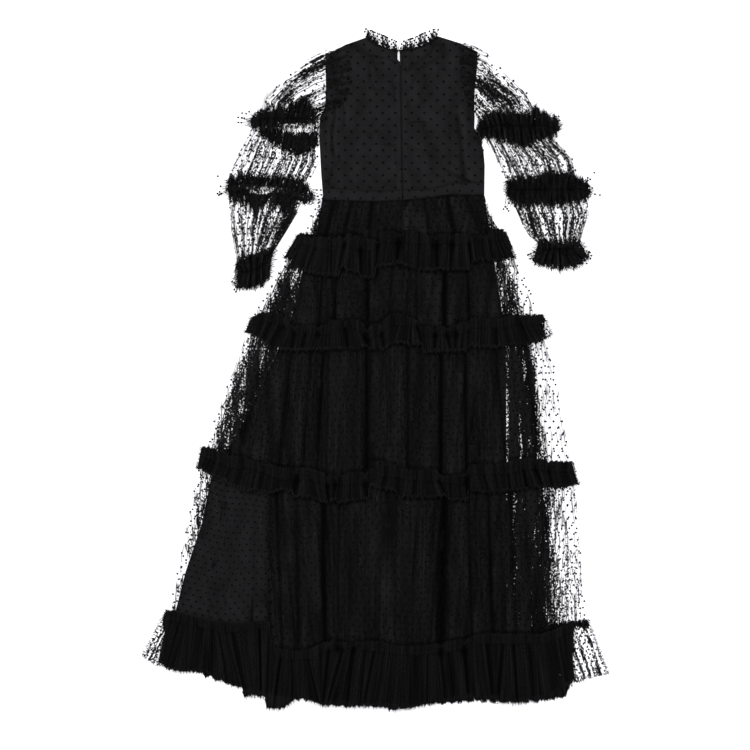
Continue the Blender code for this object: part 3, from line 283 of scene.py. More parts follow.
# Sleeves: edges of each puff from the shoulder to the cuff, and the lines of rings and cuffs
Puff = namedtuple("Puff", "name outer inner")
Ring = namedtuple("Ring", "name lines")
Sleeve = namedtuple("Sleeve", "side head puffs rings front_rings cuff")
SLEEVES = (
    Sleeve("left",
        ((-58, 751), (-56, 667), (-63, 626), (-85, 602), (-126, 587)), (
            Puff("upper", ((-61, 751), (-107, 738), (-162, 711), (-217, 673), (-258, 628), (-268, 577)),
                 ((-129.5, 590), (-129.5, 575))),
            Puff("mid", ((-268, 577), (-291, 547), (-312, 511), (-337, 451), (-339, 423)),
                 ((-129.5, 575), (-129.5, 508), (-130, 476), (-150, 437), (-164, 412))),
            Puff("lower", ((-339, 423), (-336, 366), (-332, 322), (-325, 281), (-316, 241)),
                 ((-164, 412), (-178, 363), (-210, 310), (-243, 258)))), (
            Ring("ring_1", (((-289, 577), (-261, 598), (-213, 603), (-160, 626), (-146, 605),
                             (-129.5, 582)),
                            ((-289, 568), (-261, 577), (-213, 577), (-160, 576), (-129.5, 577)),
                            ((-289, 559), (-261, 552), (-213, 554), (-160, 561), (-129.5, 573)))),
            Ring("ring_2", (((-342, 437), (-312, 451), (-256, 444), (-199, 446), (-171, 439), (-139, 402)),
                            ((-343, 423), (-312, 428), (-256, 425), (-199, 418), (-141, 396)),
                            ((-344, 409), (-312, 419), (-256, 419), (-199, 407), (-171, 400),
                             (-141, 389))))), (
            Ring("ring_1", (((-268, 563), (-217, 556), (-183, 545), (-153, 552), (-129.5, 566)),
                            ((-270, 548), (-247, 527), (-199, 499), (-174, 492), (-148, 504),
                             (-130, 518)))),
            Ring("ring_2", (((-338, 424), (-300, 416), (-243, 412), (-181, 407), (-146, 400)),
                            ((-338, 392), (-300, 382), (-275, 361), (-243, 389), (-208, 359), (-181, 384),
                             (-146, 382))))),
        (((-321, 244), (-300, 260), (-261, 271), (-231, 285)),
         ((-312, 223), (-279, 230), (-245, 248)),
         ((-323, 193), (-293, 186), (-263, 195), (-243, 214)))),
    Sleeve("right",
        ((191, 752), (194, 678), (205, 632), (214, 606), (227, 589)), (
            Puff("upper", ((194, 752), (212, 755), (259, 733), (307, 685), (353, 644), (371, 612),
                           (406, 564)),
                 ((230, 590), (234, 561))),
            Puff("mid", ((406, 564), (415, 527), (434, 508), (457, 485), (468, 446), (480, 414)),
                 ((234, 561), (256, 524), (273, 485), (289, 439), (302, 414))),
            Puff("lower", ((480, 414), (489, 379), (491, 353), (482, 327), (465, 285)),
                 ((302, 414), (323, 369), (343, 321), (355, 305), (379, 285)))), (
            Ring("ring_1", (((231, 554), (247, 586), (275, 596), (346, 589), (371, 603), (394, 586),
                             (422, 573)),
                            ((231, 546), (275, 562), (346, 561), (406, 562), (423, 563)),
                            ((231, 538), (240, 526), (266, 534), (344, 511), (371, 531), (404, 531),
                             (424, 554)))),
            Ring("ring_2", (((300, 432), (323, 444), (369, 444), (388, 457), (443, 453), (473, 439),
                             (493, 423)),
                            ((300, 416), (323, 414), (404, 414), (482, 416), (494, 415)),
                            ((300, 400), (323, 379), (350, 373), (376, 386), (401, 373), (482, 389),
                             (496, 407))))), (
            Ring("ring_1", (((232, 556), (275, 590), (346, 584), (422, 570)),
                            ((232, 538), (266, 536), (344, 516), (424, 552)))),
            Ring("ring_2", (((302, 430), (369, 440), (443, 446), (488, 423)),
                            ((302, 402), (323, 384), (401, 380), (490, 405))))),
        (((374, 294), (424, 290), (473, 294)),
         ((381, 278), (463, 278)),
         ((359, 256), (375, 244), (427, 232), (472, 244), (491, 262)))),
)

NECK_LEFT = ((-22, 764), (-7, 754), (10, 745), (33, 738), (53.2, 736))
NECK_RIGHT = ((54.6, 736), (84, 738), (112, 747), (130, 759), (140, 768))
NECK_FRONT = ((-22, 764), (-8, 728), (22, 696), (56, 684), (90, 694), (120, 724), (140, 768))
NECK_FRILL_FRONT = ((-20, 786), (10, 744), (34, 715), (56, 705), (80, 713), (104, 740), (138, 788))
NECK_FRILL_LEFT = ((-34, 784), (-22, 785), (1, 777), (22, 768), (53.2, 753))
NECK_FRILL_RIGHT = ((55.2, 753), (91, 766), (114, 777), (135, 784), (153, 783))

# How dense the side of the skirt looks, from the lining's edge to the net's edge
RIGHT_DENSITY = {
    1: ((0, 0.85), (0.5, 0.6), (0.8, 0.3), (1, 0.1)),
    2: ((0, 0.75), (0.4, 0.6), (0.7, 0.35), (1, 0.05)),
    3: ((0, 0.8), (0.05, 0.8), (0.07, 1.2), (0.16, 1.2), (0.2, 0.85), (0.24, 0.85), (0.27, 1.2),
        (0.33, 1.1), (0.37, 0.75), (0.43, 0.8), (0.46, 1.1), (0.52, 0.95), (0.56, 0.55),
        (0.62, 0.5), (0.68, 0.25), (0.8, 0.15), (0.9, 0.2), (1, 0.25)),
    4: ((0, 1.2), (0.34, 1.1), (0.37, 0.95), (0.4, 1.1), (0.48, 1.0), (0.54, 0.75), (0.6, 0.5),
        (0.65, 0.42), (0.72, 0.4), (0.8, 0.33), (1, 0.25)),
}
LEFT_DENSITY = ((0, 0.12), (8, 0.3), (20, 0.55), (45, 0.8), (80, 0.95))

# Denser and sheerer places on the sleeves, and slots where the left rings stand open, in pixels
Patch = namedtuple("Patch", "x y across along turn density")
SLEEVE_PATCHES = (
    Patch(292, 103, 12, 9, 0, 0.6),
    Patch(316, 60, 16, 20, 0, 0.45),
    Patch(495, 93, 28, 8, 34, 0.85),
    Patch(288, 70, 45, 8, -40, 0.15),
    Patch(512, 72, 45, 9, 43, 0.2),
    Patch(306, 73, 26, 3.5, -32, 0.75),
    Patch(302, 84, 14, 7, 0, 0.36),
    Patch(255, 160, 26, 16, 0, 0.37),
    Patch(552, 222, 26, 26, 0, 0.55),
    Patch(545, 150, 22, 20, 0, 0.52),
    Patch(285, 228, 28, 7, -60, 0.8),
    Patch(522, 215, 25, 6, 55, 0.65),
    Patch(470, 62, 10, 20, 0, 0.45),
    Patch(268, 235, 10, 22, 15, 0.55),
    Patch(330, 160, 14, 40, 0, 0.4),
    Patch(480, 160, 8, 40, -15, 0.45),
)
SLOTS = (Patch(299, 128.5, 18, 5.0, 4, 0.1), Patch(263, 190.5, 15, 4.0, -4, 0.15))

# Loose tufts at the ends of the sleeve rings and cuffs: place, heading in degrees, reach and count
Tuft = namedtuple("Tuft", "x y heading spread reach count")
TUFTS = (
    Tuft(254, 120, 178, 22, 40, 16), Tuft(234, 190, 192, 20, 40, 20), Tuft(310, 193, -22, 20, 26, 14),
    Tuft(320, 117, 20, 40, 12, 8), Tuft(544, 122, -4, 32, 34, 22), Tuft(578, 189, -8, 35, 36, 22),
    Tuft(509, 199, 245, 25, 30, 14), Tuft(484, 133, 215, 30, 14, 8), Tuft(538, 257, 196, 30, 22, 12),
    Tuft(582, 257, -8, 30, 22, 14), Tuft(237, 283, 215, 30, 14, 8), Tuft(523, 172, 95, 30, 14, 8),
)


def place(px, py):
    """Millimetres on the dress for a pixel of the photograph."""
    return (px - PIXEL_X) * PIXEL, (PIXEL_Y - py) * PIXEL


def zip_x(y):
    """Middle of the zip at a height up the back."""
    return ZIP_TOP_X + ZIP_SLANT * (ZIP_TOP - y)


def side_x(sides, side, y):
    """Edge of the skirt or of its lining at a height."""
    rows = sorted(sides)
    return np.interp(y, [row.y for row in rows], [getattr(row, side) for row in rows])


def line_y(line, x):
    """The second value of a table's rows at a first value, such as y at x."""
    return np.interp(x, [row[0] for row in line], [row[1] for row in line])


def placed(points):
    """A line of the photograph's pixels in millimetres."""
    return [place(*point) for point in points]


def ease(value, low, high):
    """Smooth step from 0 below low to 1 above high."""
    part = np.clip((value - low) / (high - low), 0.0, 1.0)
    return part * part * (3 - 2 * part)


def run_along(x, y):
    """Distance of each point of a line from its start."""
    return np.concatenate([[0.0], np.cumsum(np.hypot(np.diff(x), np.diff(y)))])


def length_of(points):
    """Length of a line of points."""
    return np.hypot(*np.diff(np.array(points, float), axis=0).T).sum()


def walk(points, count):
    """Evenly spaced points along a line of points, as an array."""
    points = np.array(points, float)
    run = run_along(*points.T)
    places = np.linspace(0.0, run[-1], count)
    return np.stack([np.interp(places, run, points[:, axis]) for axis in (0, 1)], axis=1)


def fill_between(first, last, left, right):
    """Grid of points that fills the space between four edges with matching corners."""
    u = np.linspace(0, 1, len(first))[None, :, None]
    v = np.linspace(0, 1, len(left))[:, None, None]
    across = first[None] * (1 - v) + last[None] * v
    along = left[:, None] * (1 - u) + right[:, None] * u
    top = first[0] * (1 - u) + first[-1] * u
    bottom = last[0] * (1 - u) + last[-1] * u
    return across + along - top * (1 - v) - bottom * v


def moved(points, dx, dy):
    """The same points, moved across and up."""
    return [(x + dx, y + dy) for x, y in points]


def distance_to(points, x, y):
    """Distance of every place to a line of points."""
    best = np.full(np.shape(x), 1e9)
    for (x0, y0), (x1, y1) in zip(points, points[1:]):
        run = max((x1 - x0) ** 2 + (y1 - y0) ** 2, 1e-9)
        part = np.clip(((x - x0) * (x1 - x0) + (y - y0) * (y1 - y0)) / run, 0, 1)
        best = np.minimum(best, np.hypot(x - x0 - part * (x1 - x0), y - y0 - part * (y1 - y0)))
    return best


class Ripple:
    """A smooth uneven wave of about unit size, the same each time for the same seed."""

    def __init__(self, seed, across, along, count=7):
        draw = np.random.default_rng(seed)
        self.terms = [(2 * math.pi / (across * draw.uniform(0.6, 1.8)),
                       2 * math.pi / (along * draw.uniform(0.6, 1.8)) * draw.choice((-1, 1)),
                       draw.uniform(0, 2 * math.pi)) for _ in range(count)]

    def at(self, s, t):
        """The wave's height at places across and along."""
        total = sum(np.sin(a * s + b * t + phase) for a, b, phase in self.terms)
        return total / math.sqrt(len(self.terms) / 2)


def neighbours(grid, **padding):
    """Nine copies of a grid, each moved by a step or none both ways."""
    grown = np.pad(grid, 1, **padding)
    rows, columns = grid.shape
    return np.stack([grown[1 + dy:rows + 1 + dy, 1 + dx:columns + 1 + dx]
                     for dy in (-1, 0, 1) for dx in (-1, 0, 1)])


class Relief:
    """Height of the top of some solids over a grid, softened a little."""

    STEP = 3.0

    def __init__(self, *names, soften=2):
        points, faces = [], []
        for name in names:
            mesh = NODES[name].data
            start = len(points)
            points.extend(vertex.co.copy() for vertex in mesh.vertices)
            faces.extend([start + index for index in face.vertices] for face in mesh.polygons)
        tree = BVHTree.FromPolygons(points, faces)
        spots = np.array([point[:2] for point in points]) / MM
        self.low = spots.min(axis=0) - 2 * self.STEP
        count = np.ceil((spots.max(axis=0) + 2 * self.STEP - self.low) / self.STEP).astype(int) + 1
        height = np.full((count[1], count[0]), np.nan)
        down = Vector((0, 0, -1))
        for row in range(count[1]):
            for column in range(count[0]):
                start = Vector(((self.low[0] + column * self.STEP) * MM,
                                (self.low[1] + row * self.STEP) * MM, 1.0))
                hit = tree.ray_cast(start, down)[0]
                if hit is not None:
                    height[row, column] = hit.z / MM
        while np.isnan(height).any():
            around = neighbours(height, constant_values=np.nan)
            known = ~np.isnan(around)
            total = np.where(known, around, 0.0).sum(axis=0)
            near = known.sum(axis=0)
            new = np.where(near > 0, total / np.maximum(near, 1), np.nan)
            height = np.where(np.isnan(height), new, height)
        for _ in range(soften):
            height = neighbours(height, mode="edge").sum(axis=0) / 9
        self.height = height

    def at(self, x, y):
        """Height in millimetres at places across and up."""
        column = np.clip((x - self.low[0]) / self.STEP, 0, self.height.shape[1] - 1.001)
        row = np.clip((y - self.low[1]) / self.STEP, 0, self.height.shape[0] - 1.001)
        c, r = column.astype(int), row.astype(int)
        fc, fr = column - c, row - r
        above = self.height[r, c] * (1 - fc) + self.height[r, c + 1] * fc
        below = self.height[r + 1, c] * (1 - fc) + self.height[r + 1, c + 1] * fc
        return above * (1 - fr) + below * fr


# Materials


class Value:
    """A socket in a tree of nodes, which plain arithmetic turns into more nodes."""

    def __init__(self, graph, socket):
        self.graph = graph
        self.socket = socket

    def math(self, operation, *others):
        return self.graph.node("ShaderNodeMath", {"operation": operation},
                               dict(enumerate((self, *others))))

    def __add__(self, other):
        return self.math("ADD", other)

    def __sub__(self, other):
        return self.math("SUBTRACT", other)

    def __mul__(self, other):
        return self.math("MULTIPLY", other)

    def __truediv__(self, other):
        return self.math("DIVIDE", other)

    __radd__ = __add__
    __rmul__ = __mul__

    def clamp(self):
        return self.graph.node("ShaderNodeClamp", {}, {0: self})

    def larger(self, other):
        return self.math("MAXIMUM", other)

    def sine(self):
        return self.math("SINE")


class Graph:
    """A tree of nodes and the one way to add a node to it."""

    def __init__(self, tree):
        self.tree = tree

    def node(self, kind, settings=None, inputs=None, output=0):
        """Adds a node and gives one of its outputs as a value."""
        made = self.tree.nodes.new(kind)
        for key, value in (settings or {}).items():
            setattr(made, key, value)
        for key, value in (inputs or {}).items():
            if isinstance(value, Value):
                self.tree.links.new(value.socket, made.inputs[key])
            else:
                made.inputs[key].default_value = value
        return None if output is None else Value(self, made.outputs[output])


# A faint cold tint of all that is black
RED_TINT, BLUE_TINT = 1.01, 1.09


class Finish:
    """A material under way: its graph, its shader and the cloth's own coordinates."""

    def __init__(self, name, roughness, specular=0.04):
        self.material = bpy.data.materials.new(name)
        self.material.use_nodes = True
        self.graph = Graph(self.material.node_tree)
        self.shader = self.material.node_tree.nodes["Principled BSDF"]
        self.set("Roughness", roughness)
        self.set("Specular IOR Level", specular)

    def set(self, name, value):
        socket = self.shader.inputs[name]
        if isinstance(value, Value):
            self.graph.tree.links.new(value.socket, socket)
        else:
            socket.default_value = value

    def cloth(self):
        """How far across and along the cloth, in millimetres."""
        uv = self.graph.node("ShaderNodeUVMap", {"uv_map": "cloth"})
        parts = self.graph.node("ShaderNodeSeparateXYZ", {}, {0: uv})
        down = Value(self.graph, parts.socket.node.outputs[1])
        return parts * 1000.0, down * 1000.0

    def attribute(self, name):
        """A number that the points of the mesh carry."""
        return self.graph.node("ShaderNodeAttribute", {"attribute_name": name}, output="Fac")

    def noise(self, u, v, detail=1.0, rough=0.5):
        """Smooth noise from about 0.3 to 0.7 at two scaled coordinates."""
        spot = self.graph.node("ShaderNodeCombineXYZ", {}, {0: u, 1: v})
        return self.graph.node("ShaderNodeTexNoise", {"noise_dimensions": "2D"},
                               {"Vector": spot, "Scale": 1.0, "Detail": detail, "Roughness": rough})

    def specks(self, scale, detail=2.0):
        """Noise at a scale to the metre, for what isn't cloth."""
        spot = self.graph.node("ShaderNodeTexCoord", output="Object")
        return self.graph.node("ShaderNodeTexNoise", {},
                               {"Vector": spot, "Scale": scale, "Detail": detail})

    def colour(self, dark, light, part, shade=None):
        """A grey between two, by part, and then times shade."""
        grey = dark + (light - dark) * part
        if shade is not None:
            grey = grey * shade
        tint = self.graph.node("ShaderNodeCombineColor", {},
                               {0: grey * RED_TINT, 1: grey, 2: grey * BLUE_TINT})
        self.set("Base Color", tint)

    def bump(self, height, distance, strength=1.0):
        normal = self.graph.node("ShaderNodeBump", {}, {"Height": height, "Distance": distance,
                                                        "Strength": strength})
        self.set("Normal", normal)


def net_finish(name, dark, light, run, bend, fold=8.0, swing=1.5, grain=1.0, line=0.0):
    """Fine net in soft folds: hazy where it lies double, dark where a fold is seen edge on.

    run and fold are the length and width of its folds in millimetres, bend is how far they wander,
    swing how strongly they show, grain how speckled it is and line how wide its drawn threads are.
    """
    made = Finish(name, 0.95, specular=0.02)
    gather = made.attribute("gather")
    u, v = made.cloth()
    u = u + (made.noise(u / 14.0, v / 22.0) - 0.5) * bend
    band = made.noise(u / fold, v / run, 2.0) - 0.5
    tangle = made.noise(u / 4.6, v / (0.2 * run)) - 0.5
    speckle = made.noise(u / 3.6, v / 5.0) - 0.5
    hair = made.noise(u / 1.9, v / (1.2 * run)) - 0.5
    layers = gather * 1.3 - 0.28 + band * (gather * 0.8 + swing) + hair * 0.3
    mixed = (speckle * 2.4 + tangle * 1.4) * grain * (gather * 1.7).clamp()
    haze = (0.5 + (layers - 0.5 + mixed) * 3.2).clamp()
    drawn = (gather * 2.4).clamp() * line
    crease = (gather * 0.022 + 0.004 + drawn + hair * (0.03 + line) - band.math("ABSOLUTE")) * 45.0
    knotted = (gather * 0.07 - 0.028 + band * 0.06 - tangle.math("ABSOLUTE")) * 60.0
    seen = haze.larger(crease.clamp() * 0.85).larger(knotted.clamp()) * (gather * 8.0).clamp()
    spike = 0.5 + (made.noise(u / 2.0, v / 80.0) - 0.5) * 2.4
    ragged = ((spike + 0.35 - made.attribute("edge") * 1.35) * 9.0).clamp()
    made.set("Alpha", (seen * 0.997).larger(0.012) * ragged)
    # Colour: a painted highlight along the crests of the net's soft folds, mixed with its own uneven tone,
    # times the painted shade that each piece carries
    lit = (hair * 1.5 + band * 1.4 + speckle * 1.2 + 0.42).clamp()
    made.colour(dark, light, lit, made.attribute("shade"))
    made.bump(band + hair * 0.5 + speckle * 0.3, 0.0008, 0.5)
    return made.material


def woven_finish(name, dark, light, roughness, thread=0.9):
    """Plain woven cloth with a faint mottle."""
    made = Finish(name, roughness)
    u, v = made.cloth()
    mottle = made.noise(u / 26.0, v / 40.0, 3.0, 0.6)
    grain = made.noise(u / 1.6, v / 1.6, 2.0, 0.7)
    weave = (u * (2 * math.pi / thread)).sine() * (v * (2 * math.pi / thread)).sine()
    part = ((mottle - 0.5) * 1.6 + (grain - 0.5) * 0.9 + 0.5).clamp()
    made.colour(dark, light, part, made.attribute("shade"))
    made.bump(weave * 0.25 + grain, 0.0004, 0.6)
    return made.material


def flock_finish(name):
    """Soft short pile of a flocked dot."""
    made = Finish(name, 1.0, specular=0.02)
    pile = made.specks(2400.0)
    made.colour(0.0012, 0.0032, pile)
    made.bump(pile, 0.0003)
    return made.material


def metal_finish(name):
    """Dark lacquered metal with a little wear."""
    made = Finish(name, 0.5, specular=0.12)
    wear = made.specks(900.0, 3.0)
    made.colour(0.006, 0.022, ((wear - 0.5) * 4.0 + 0.3).clamp())
    made.set("Roughness", 0.42 + wear * 0.25)
    made.bump(wear, 0.00008)
    return made.material


def thread_finish(name):
    """Sewing thread."""
    made = Finish(name, 0.8)
    twist = made.specks(1500.0)
    made.colour(0.004, 0.012, twist)
    made.bump(twist, 0.0001)
    return made.material


def floor_finish(name):
    """Plain white paper under soft light."""
    made = Finish(name, 1.0, specular=0.0)
    made.colour(0.54, 0.56, made.specks(2.0))
    made.set("Emission Color", (1, 1, 1, 1))
    made.set("Emission Strength", 0.75)
    return made.material


NET = net_finish("dotted_net", 0.0026, 0.0076, 220.0, 2.5, fold=19.0, line=0.022)
CRINKLED = net_finish("crinkled_net", 0.0020, 0.0068, 210.0, 4.0, fold=13.0, swing=1.6, grain=0.85,
                      line=0.02)
PLEATED = net_finish("pleated_net", 0.0020, 0.0060, 150.0, 1.0, grain=0.6)
TUFTED = net_finish("tufted_net", 0.0014, 0.0062, 36.0, 7.0)
LINING = woven_finish("lining_satin", 0.0068, 0.0122, 0.75)
BAND = woven_finish("waistband_ribbon", 0.0080, 0.0125, 0.8, thread=1.3)
TAPE = woven_finish("zip_tape_weave", 0.0075, 0.0125, 0.85, thread=1.1)
FLOCK = flock_finish("flocked_dot")
METAL = metal_finish("lacquered_metal")
THREAD = thread_finish("sewing_thread")
FLOOR = floor_finish("floor_paper")


# Sheets of cloth


def add_object(name, data):
    """Puts an object in the scene."""
    item = bpy.data.objects.new(name, data)
    bpy.context.scene.collection.objects.link(item)
    return item


def add_piece(name, mesh):
    """Puts a finished mesh in the scene as a piece of the dress."""
    item = add_object(name, mesh)
    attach(item, "dress")
    return item


def add_cloth(name, mesh, material):
    """The same for a smooth piece of cloth."""
    mesh.materials.clear()
    mesh.materials.append(material)
    for face in mesh.polygons:
        face.use_smooth = True
    return add_piece(name, mesh)


def add_values(mesh, **values):
    """Stores a number for every point of a mesh under each name."""
    for name, numbers in values.items():
        layer = mesh.attributes.new(name, "FLOAT", "POINT")
        numbers = np.broadcast_to(numbers, len(mesh.vertices)).astype(np.float32)
        layer.data.foreach_set("value", numbers)


def add_cloth_map(mesh, u, v, seed):
    """Stores how far across and along the cloth each corner is, in metres."""
    layer = mesh.uv_layers.new(name="cloth")
    corner = np.empty(len(mesh.loops), dtype=np.int32)
    mesh.loops.foreach_get("vertex_index", corner)
    both = np.stack([(u + CLOTH_SHIFT[0] * seed)[corner], (v + CLOTH_SHIFT[1] * seed)[corner]], axis=1)
    layer.data.foreach_set("uv", (both * MM).astype(np.float32).ravel())


class Sheet:
    """A piece of cloth as a grid of points, with its rows running down the cloth."""

    def __init__(self, x, y, z, gather=1.0, edge=0.0, shade=1.0, seed=0):
        if np.mean(x[:, -1] - x[:, 0]) * np.mean(y[0] - y[-1]) < 0:
            x, y, z = (np.asarray(part)[:, ::-1] for part in (x, y, z))
            gather, edge, shade = (np.broadcast_to(part, x.shape)[:, ::-1]
                                   for part in (gather, edge, shade))
        self.x, self.y, self.z = x, y, z
        self.gather = np.broadcast_to(gather, x.shape)
        self.edge = np.broadcast_to(edge, x.shape)
        self.shade = np.broadcast_to(shade, x.shape)
        row, column = x.shape[0] // 2, x.shape[1] // 2
        self.s = run_along(x[row], y[row])
        self.t = run_along(x[:, column], y[:, column])
        self.seed = seed

    def build(self, name, material):
        """Makes the cloth's mesh and puts it in the scene."""
        rows, columns = self.x.shape
        points = np.stack([self.x, self.y, self.z], axis=2).reshape(-1, 3) * MM
        r, c = np.meshgrid(np.arange(rows - 1), np.arange(columns - 1), indexing="ij")
        first = (r * columns + c).ravel()
        faces = np.stack([first, first + columns, first + columns + 1, first + 1], axis=1)
        mesh = bpy.data.meshes.new(name)
        mesh.from_pydata(points.tolist(), [], faces.tolist())
        u, v = (np.broadcast_to(run, self.x.shape).ravel() for run in (self.s, self.t[:, None]))
        add_cloth_map(mesh, u, v, self.seed)
        add_values(mesh, gather=self.gather.ravel(), edge=self.edge.ravel(), shade=self.shade.ravel())
        return add_cloth(name, mesh, material)

    def dots(self, across, down, margin=5.0):
        """Where the flocked dots sit: a staggered lattice over the cloth."""
        draw = np.random.default_rng(900 + self.seed)
        found = []
        rows, columns = self.x.shape
        for k in range(int(self.t[-1] / down) + 1):
            t = (k + 0.5) * down + draw.uniform(-0.5, 0.5)
            if not margin < t < self.t[-1] - 2:
                continue
            for j in range(int(self.s[-1] / across) + 2):
                s = (j + 0.5 * (k % 2)) * across + draw.uniform(-0.9, 0.9)
                if not 3.0 < s < self.s[-1] - 3.0:
                    continue
                row = np.interp(t, self.t, np.arange(rows))
                column = np.interp(s, self.s, np.arange(columns))
                found.append(self.spot(row, column))
        return found

    def spot(self, row, column):
        """Point and facing of the cloth at a row and column between those of the grid."""
        r, c = min(int(row), self.x.shape[0] - 2), min(int(column), self.x.shape[1] - 2)
        fr, fc = row - r, column - c
        corners = [Vector((self.x[i, j], self.y[i, j], self.z[i, j]))
                   for i, j in ((r, c), (r, c + 1), (r + 1, c), (r + 1, c + 1))]
        top = corners[0].lerp(corners[1], fc)
        low = corners[2].lerp(corners[3], fc)
        facing = (corners[1] - corners[0]).cross(corners[0] - corners[2]).normalized()
        return top.lerp(low, fr) + facing * DOT_LIFT, facing


# Places and facings of the dots, and places, headings, lengths and widths of the loose threads
DOTS = []
STRANDS = []


def add_tufts():
    """Loose ends of net at the ends of the rings and cuffs, with a few dots on them."""
    draw = np.random.default_rng(77)
    for tuft in TUFTS:
        x, y = place(tuft.x, tuft.y)
        for _ in range(tuft.count):
            turn = math.radians(tuft.heading + draw.normal(0.0, tuft.spread))
            aim = Vector((math.cos(turn), math.sin(turn), draw.uniform(-0.02, 0.12))).normalized()
            spot = Vector((x + draw.uniform(-9, 9), y + draw.uniform(-12, 12), draw.uniform(4.0, 8.0)))
            length = tuft.reach * draw.uniform(0.5, 1.5)
            STRANDS.append((spot, aim, length, draw.uniform(0.5, 1.0)))
            if draw.random() < 0.6:
                DOTS.append((spot + aim * length * draw.uniform(0.5, 1.0), Vector((0.0, 0.0, 1.0))))


def fray(x, y, z, out_x, out_y, spacing, reach, spread, seed, thick=1.0):
    """Loose thread ends along an edge: x, y, z are its places and out_x, out_y point away from it."""
    draw = np.random.default_rng(seed)
    run = run_along(x, y)

    def value(at, values):
        return float(np.interp(at, run, np.broadcast_to(values, x.shape)))

    for at in np.arange(spacing, run[-1], spacing):
        at = at + draw.uniform(-0.5, 0.5) * spacing
        spot = Vector([value(at, values) for values in (x, y, z)])
        aim = Vector([value(at, values) for values in (out_x, out_y)])
        turn = draw.normal(0.0, spread)
        aim = Vector((aim.x * math.cos(turn) - aim.y * math.sin(turn),
                      aim.x * math.sin(turn) + aim.y * math.cos(turn), draw.uniform(0.0, 0.3)))
        length = value(at, reach) * draw.uniform(0.35, 1.0) ** 1.6
        aim.normalize()
        STRANDS.append((spot - aim * ROOT, aim, length + ROOT, thick * draw.uniform(0.7, 1.5)))


def fray_from(edge, beside, *settings):
    """Frays an edge of a grid straight away from the row or column beside it."""
    x, y, z = edge
    away = np.hypot(x - beside[0], y - beside[1]) + 1e-6
    fray(x, y, z, (x - beside[0]) / away, (y - beside[1]) / away, *settings)


def declare(piece, gather, rests_on, replaced, extras=()):
    """Works out what a sheet was cut to before it was gathered, and hides the solids it stands for."""
    mesh = piece.data
    points = np.empty(len(mesh.vertices) * 3)
    mesh.vertices.foreach_get("co", points)
    size = np.ptp(points.reshape(-1, 3), axis=0)
    projected = sum(face.area * abs(face.normal.z) for face in mesh.polygons)
    width, length = size[0] * gather, size[1]
    area = min(projected * gather, width * length)
    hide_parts(*replaced)


def side_density(x, y, tier):
    """How dense the net looks at the sides of the skirt, and over the lining."""
    left, right = side_x(SKIRT_SIDES, "left", y), side_x(SKIRT_SIDES, "right", y)
    inner = side_x(LINING_SIDES, "right", y)
    part = (x - inner) / np.maximum(right - inner, 1.0)
    dense = np.where(x > inner, line_y(RIGHT_DENSITY[tier], part), line_y(LEFT_DENSITY, x - left))
    over = (x > side_x(LINING_SIDES, "left", y)) & (x < inner)
    dense = np.where(over, 0.5, dense)
    if tier == 4:
        dense = np.where(over, dense * (1 - 0.85 * smooth_side(x)), dense)
    return dense


def smooth_side(x):
    """1 at the left of the lowest tier, where the net lies smooth over the lining, and 0 beyond."""
    return 1 - ease(x, -262, -240)


def patched(dense, patches, x, y, sharp=1):
    """A density with patches blended into it."""
    for patch in patches:
        cx, cy = place(patch.x, patch.y)
        turn = math.radians(patch.turn)
        dx, dy = (x - cx) / PIXEL, (y - cy) / PIXEL
        a = (dx * math.cos(turn) - dy * math.sin(turn)) / patch.across
        b = (dx * math.sin(turn) + dy * math.cos(turn)) / patch.along
        dense = dense + (patch.density - dense) * np.exp(-(a * a + b * b) ** sharp)
    return dense


def sleeve_density(x, y):
    """How dense the sleeve's net looks."""
    return patched(np.full(np.shape(x), 0.42), SLEEVE_PATCHES, x, y)


def through_slots(x, y, dense):
    """The left rings stand open, so the floor shows between their halves."""
    return patched(dense, SLOTS, x, y, sharp=2)


def between(x, low, high):
    """1 between two columns of the photograph and 0 beyond them, with soft ends."""
    px = x / PIXEL + PIXEL_X
    return ease(px, low - 6, low + 4) * (1 - ease(px, high - 4, high + 6))


def meet(edge, seam):
    """Where an edge of the skirt crosses a seam."""
    x = edge(seam(0.0))
    for _ in range(4):
        x = edge(seam(x))
    return float(x)


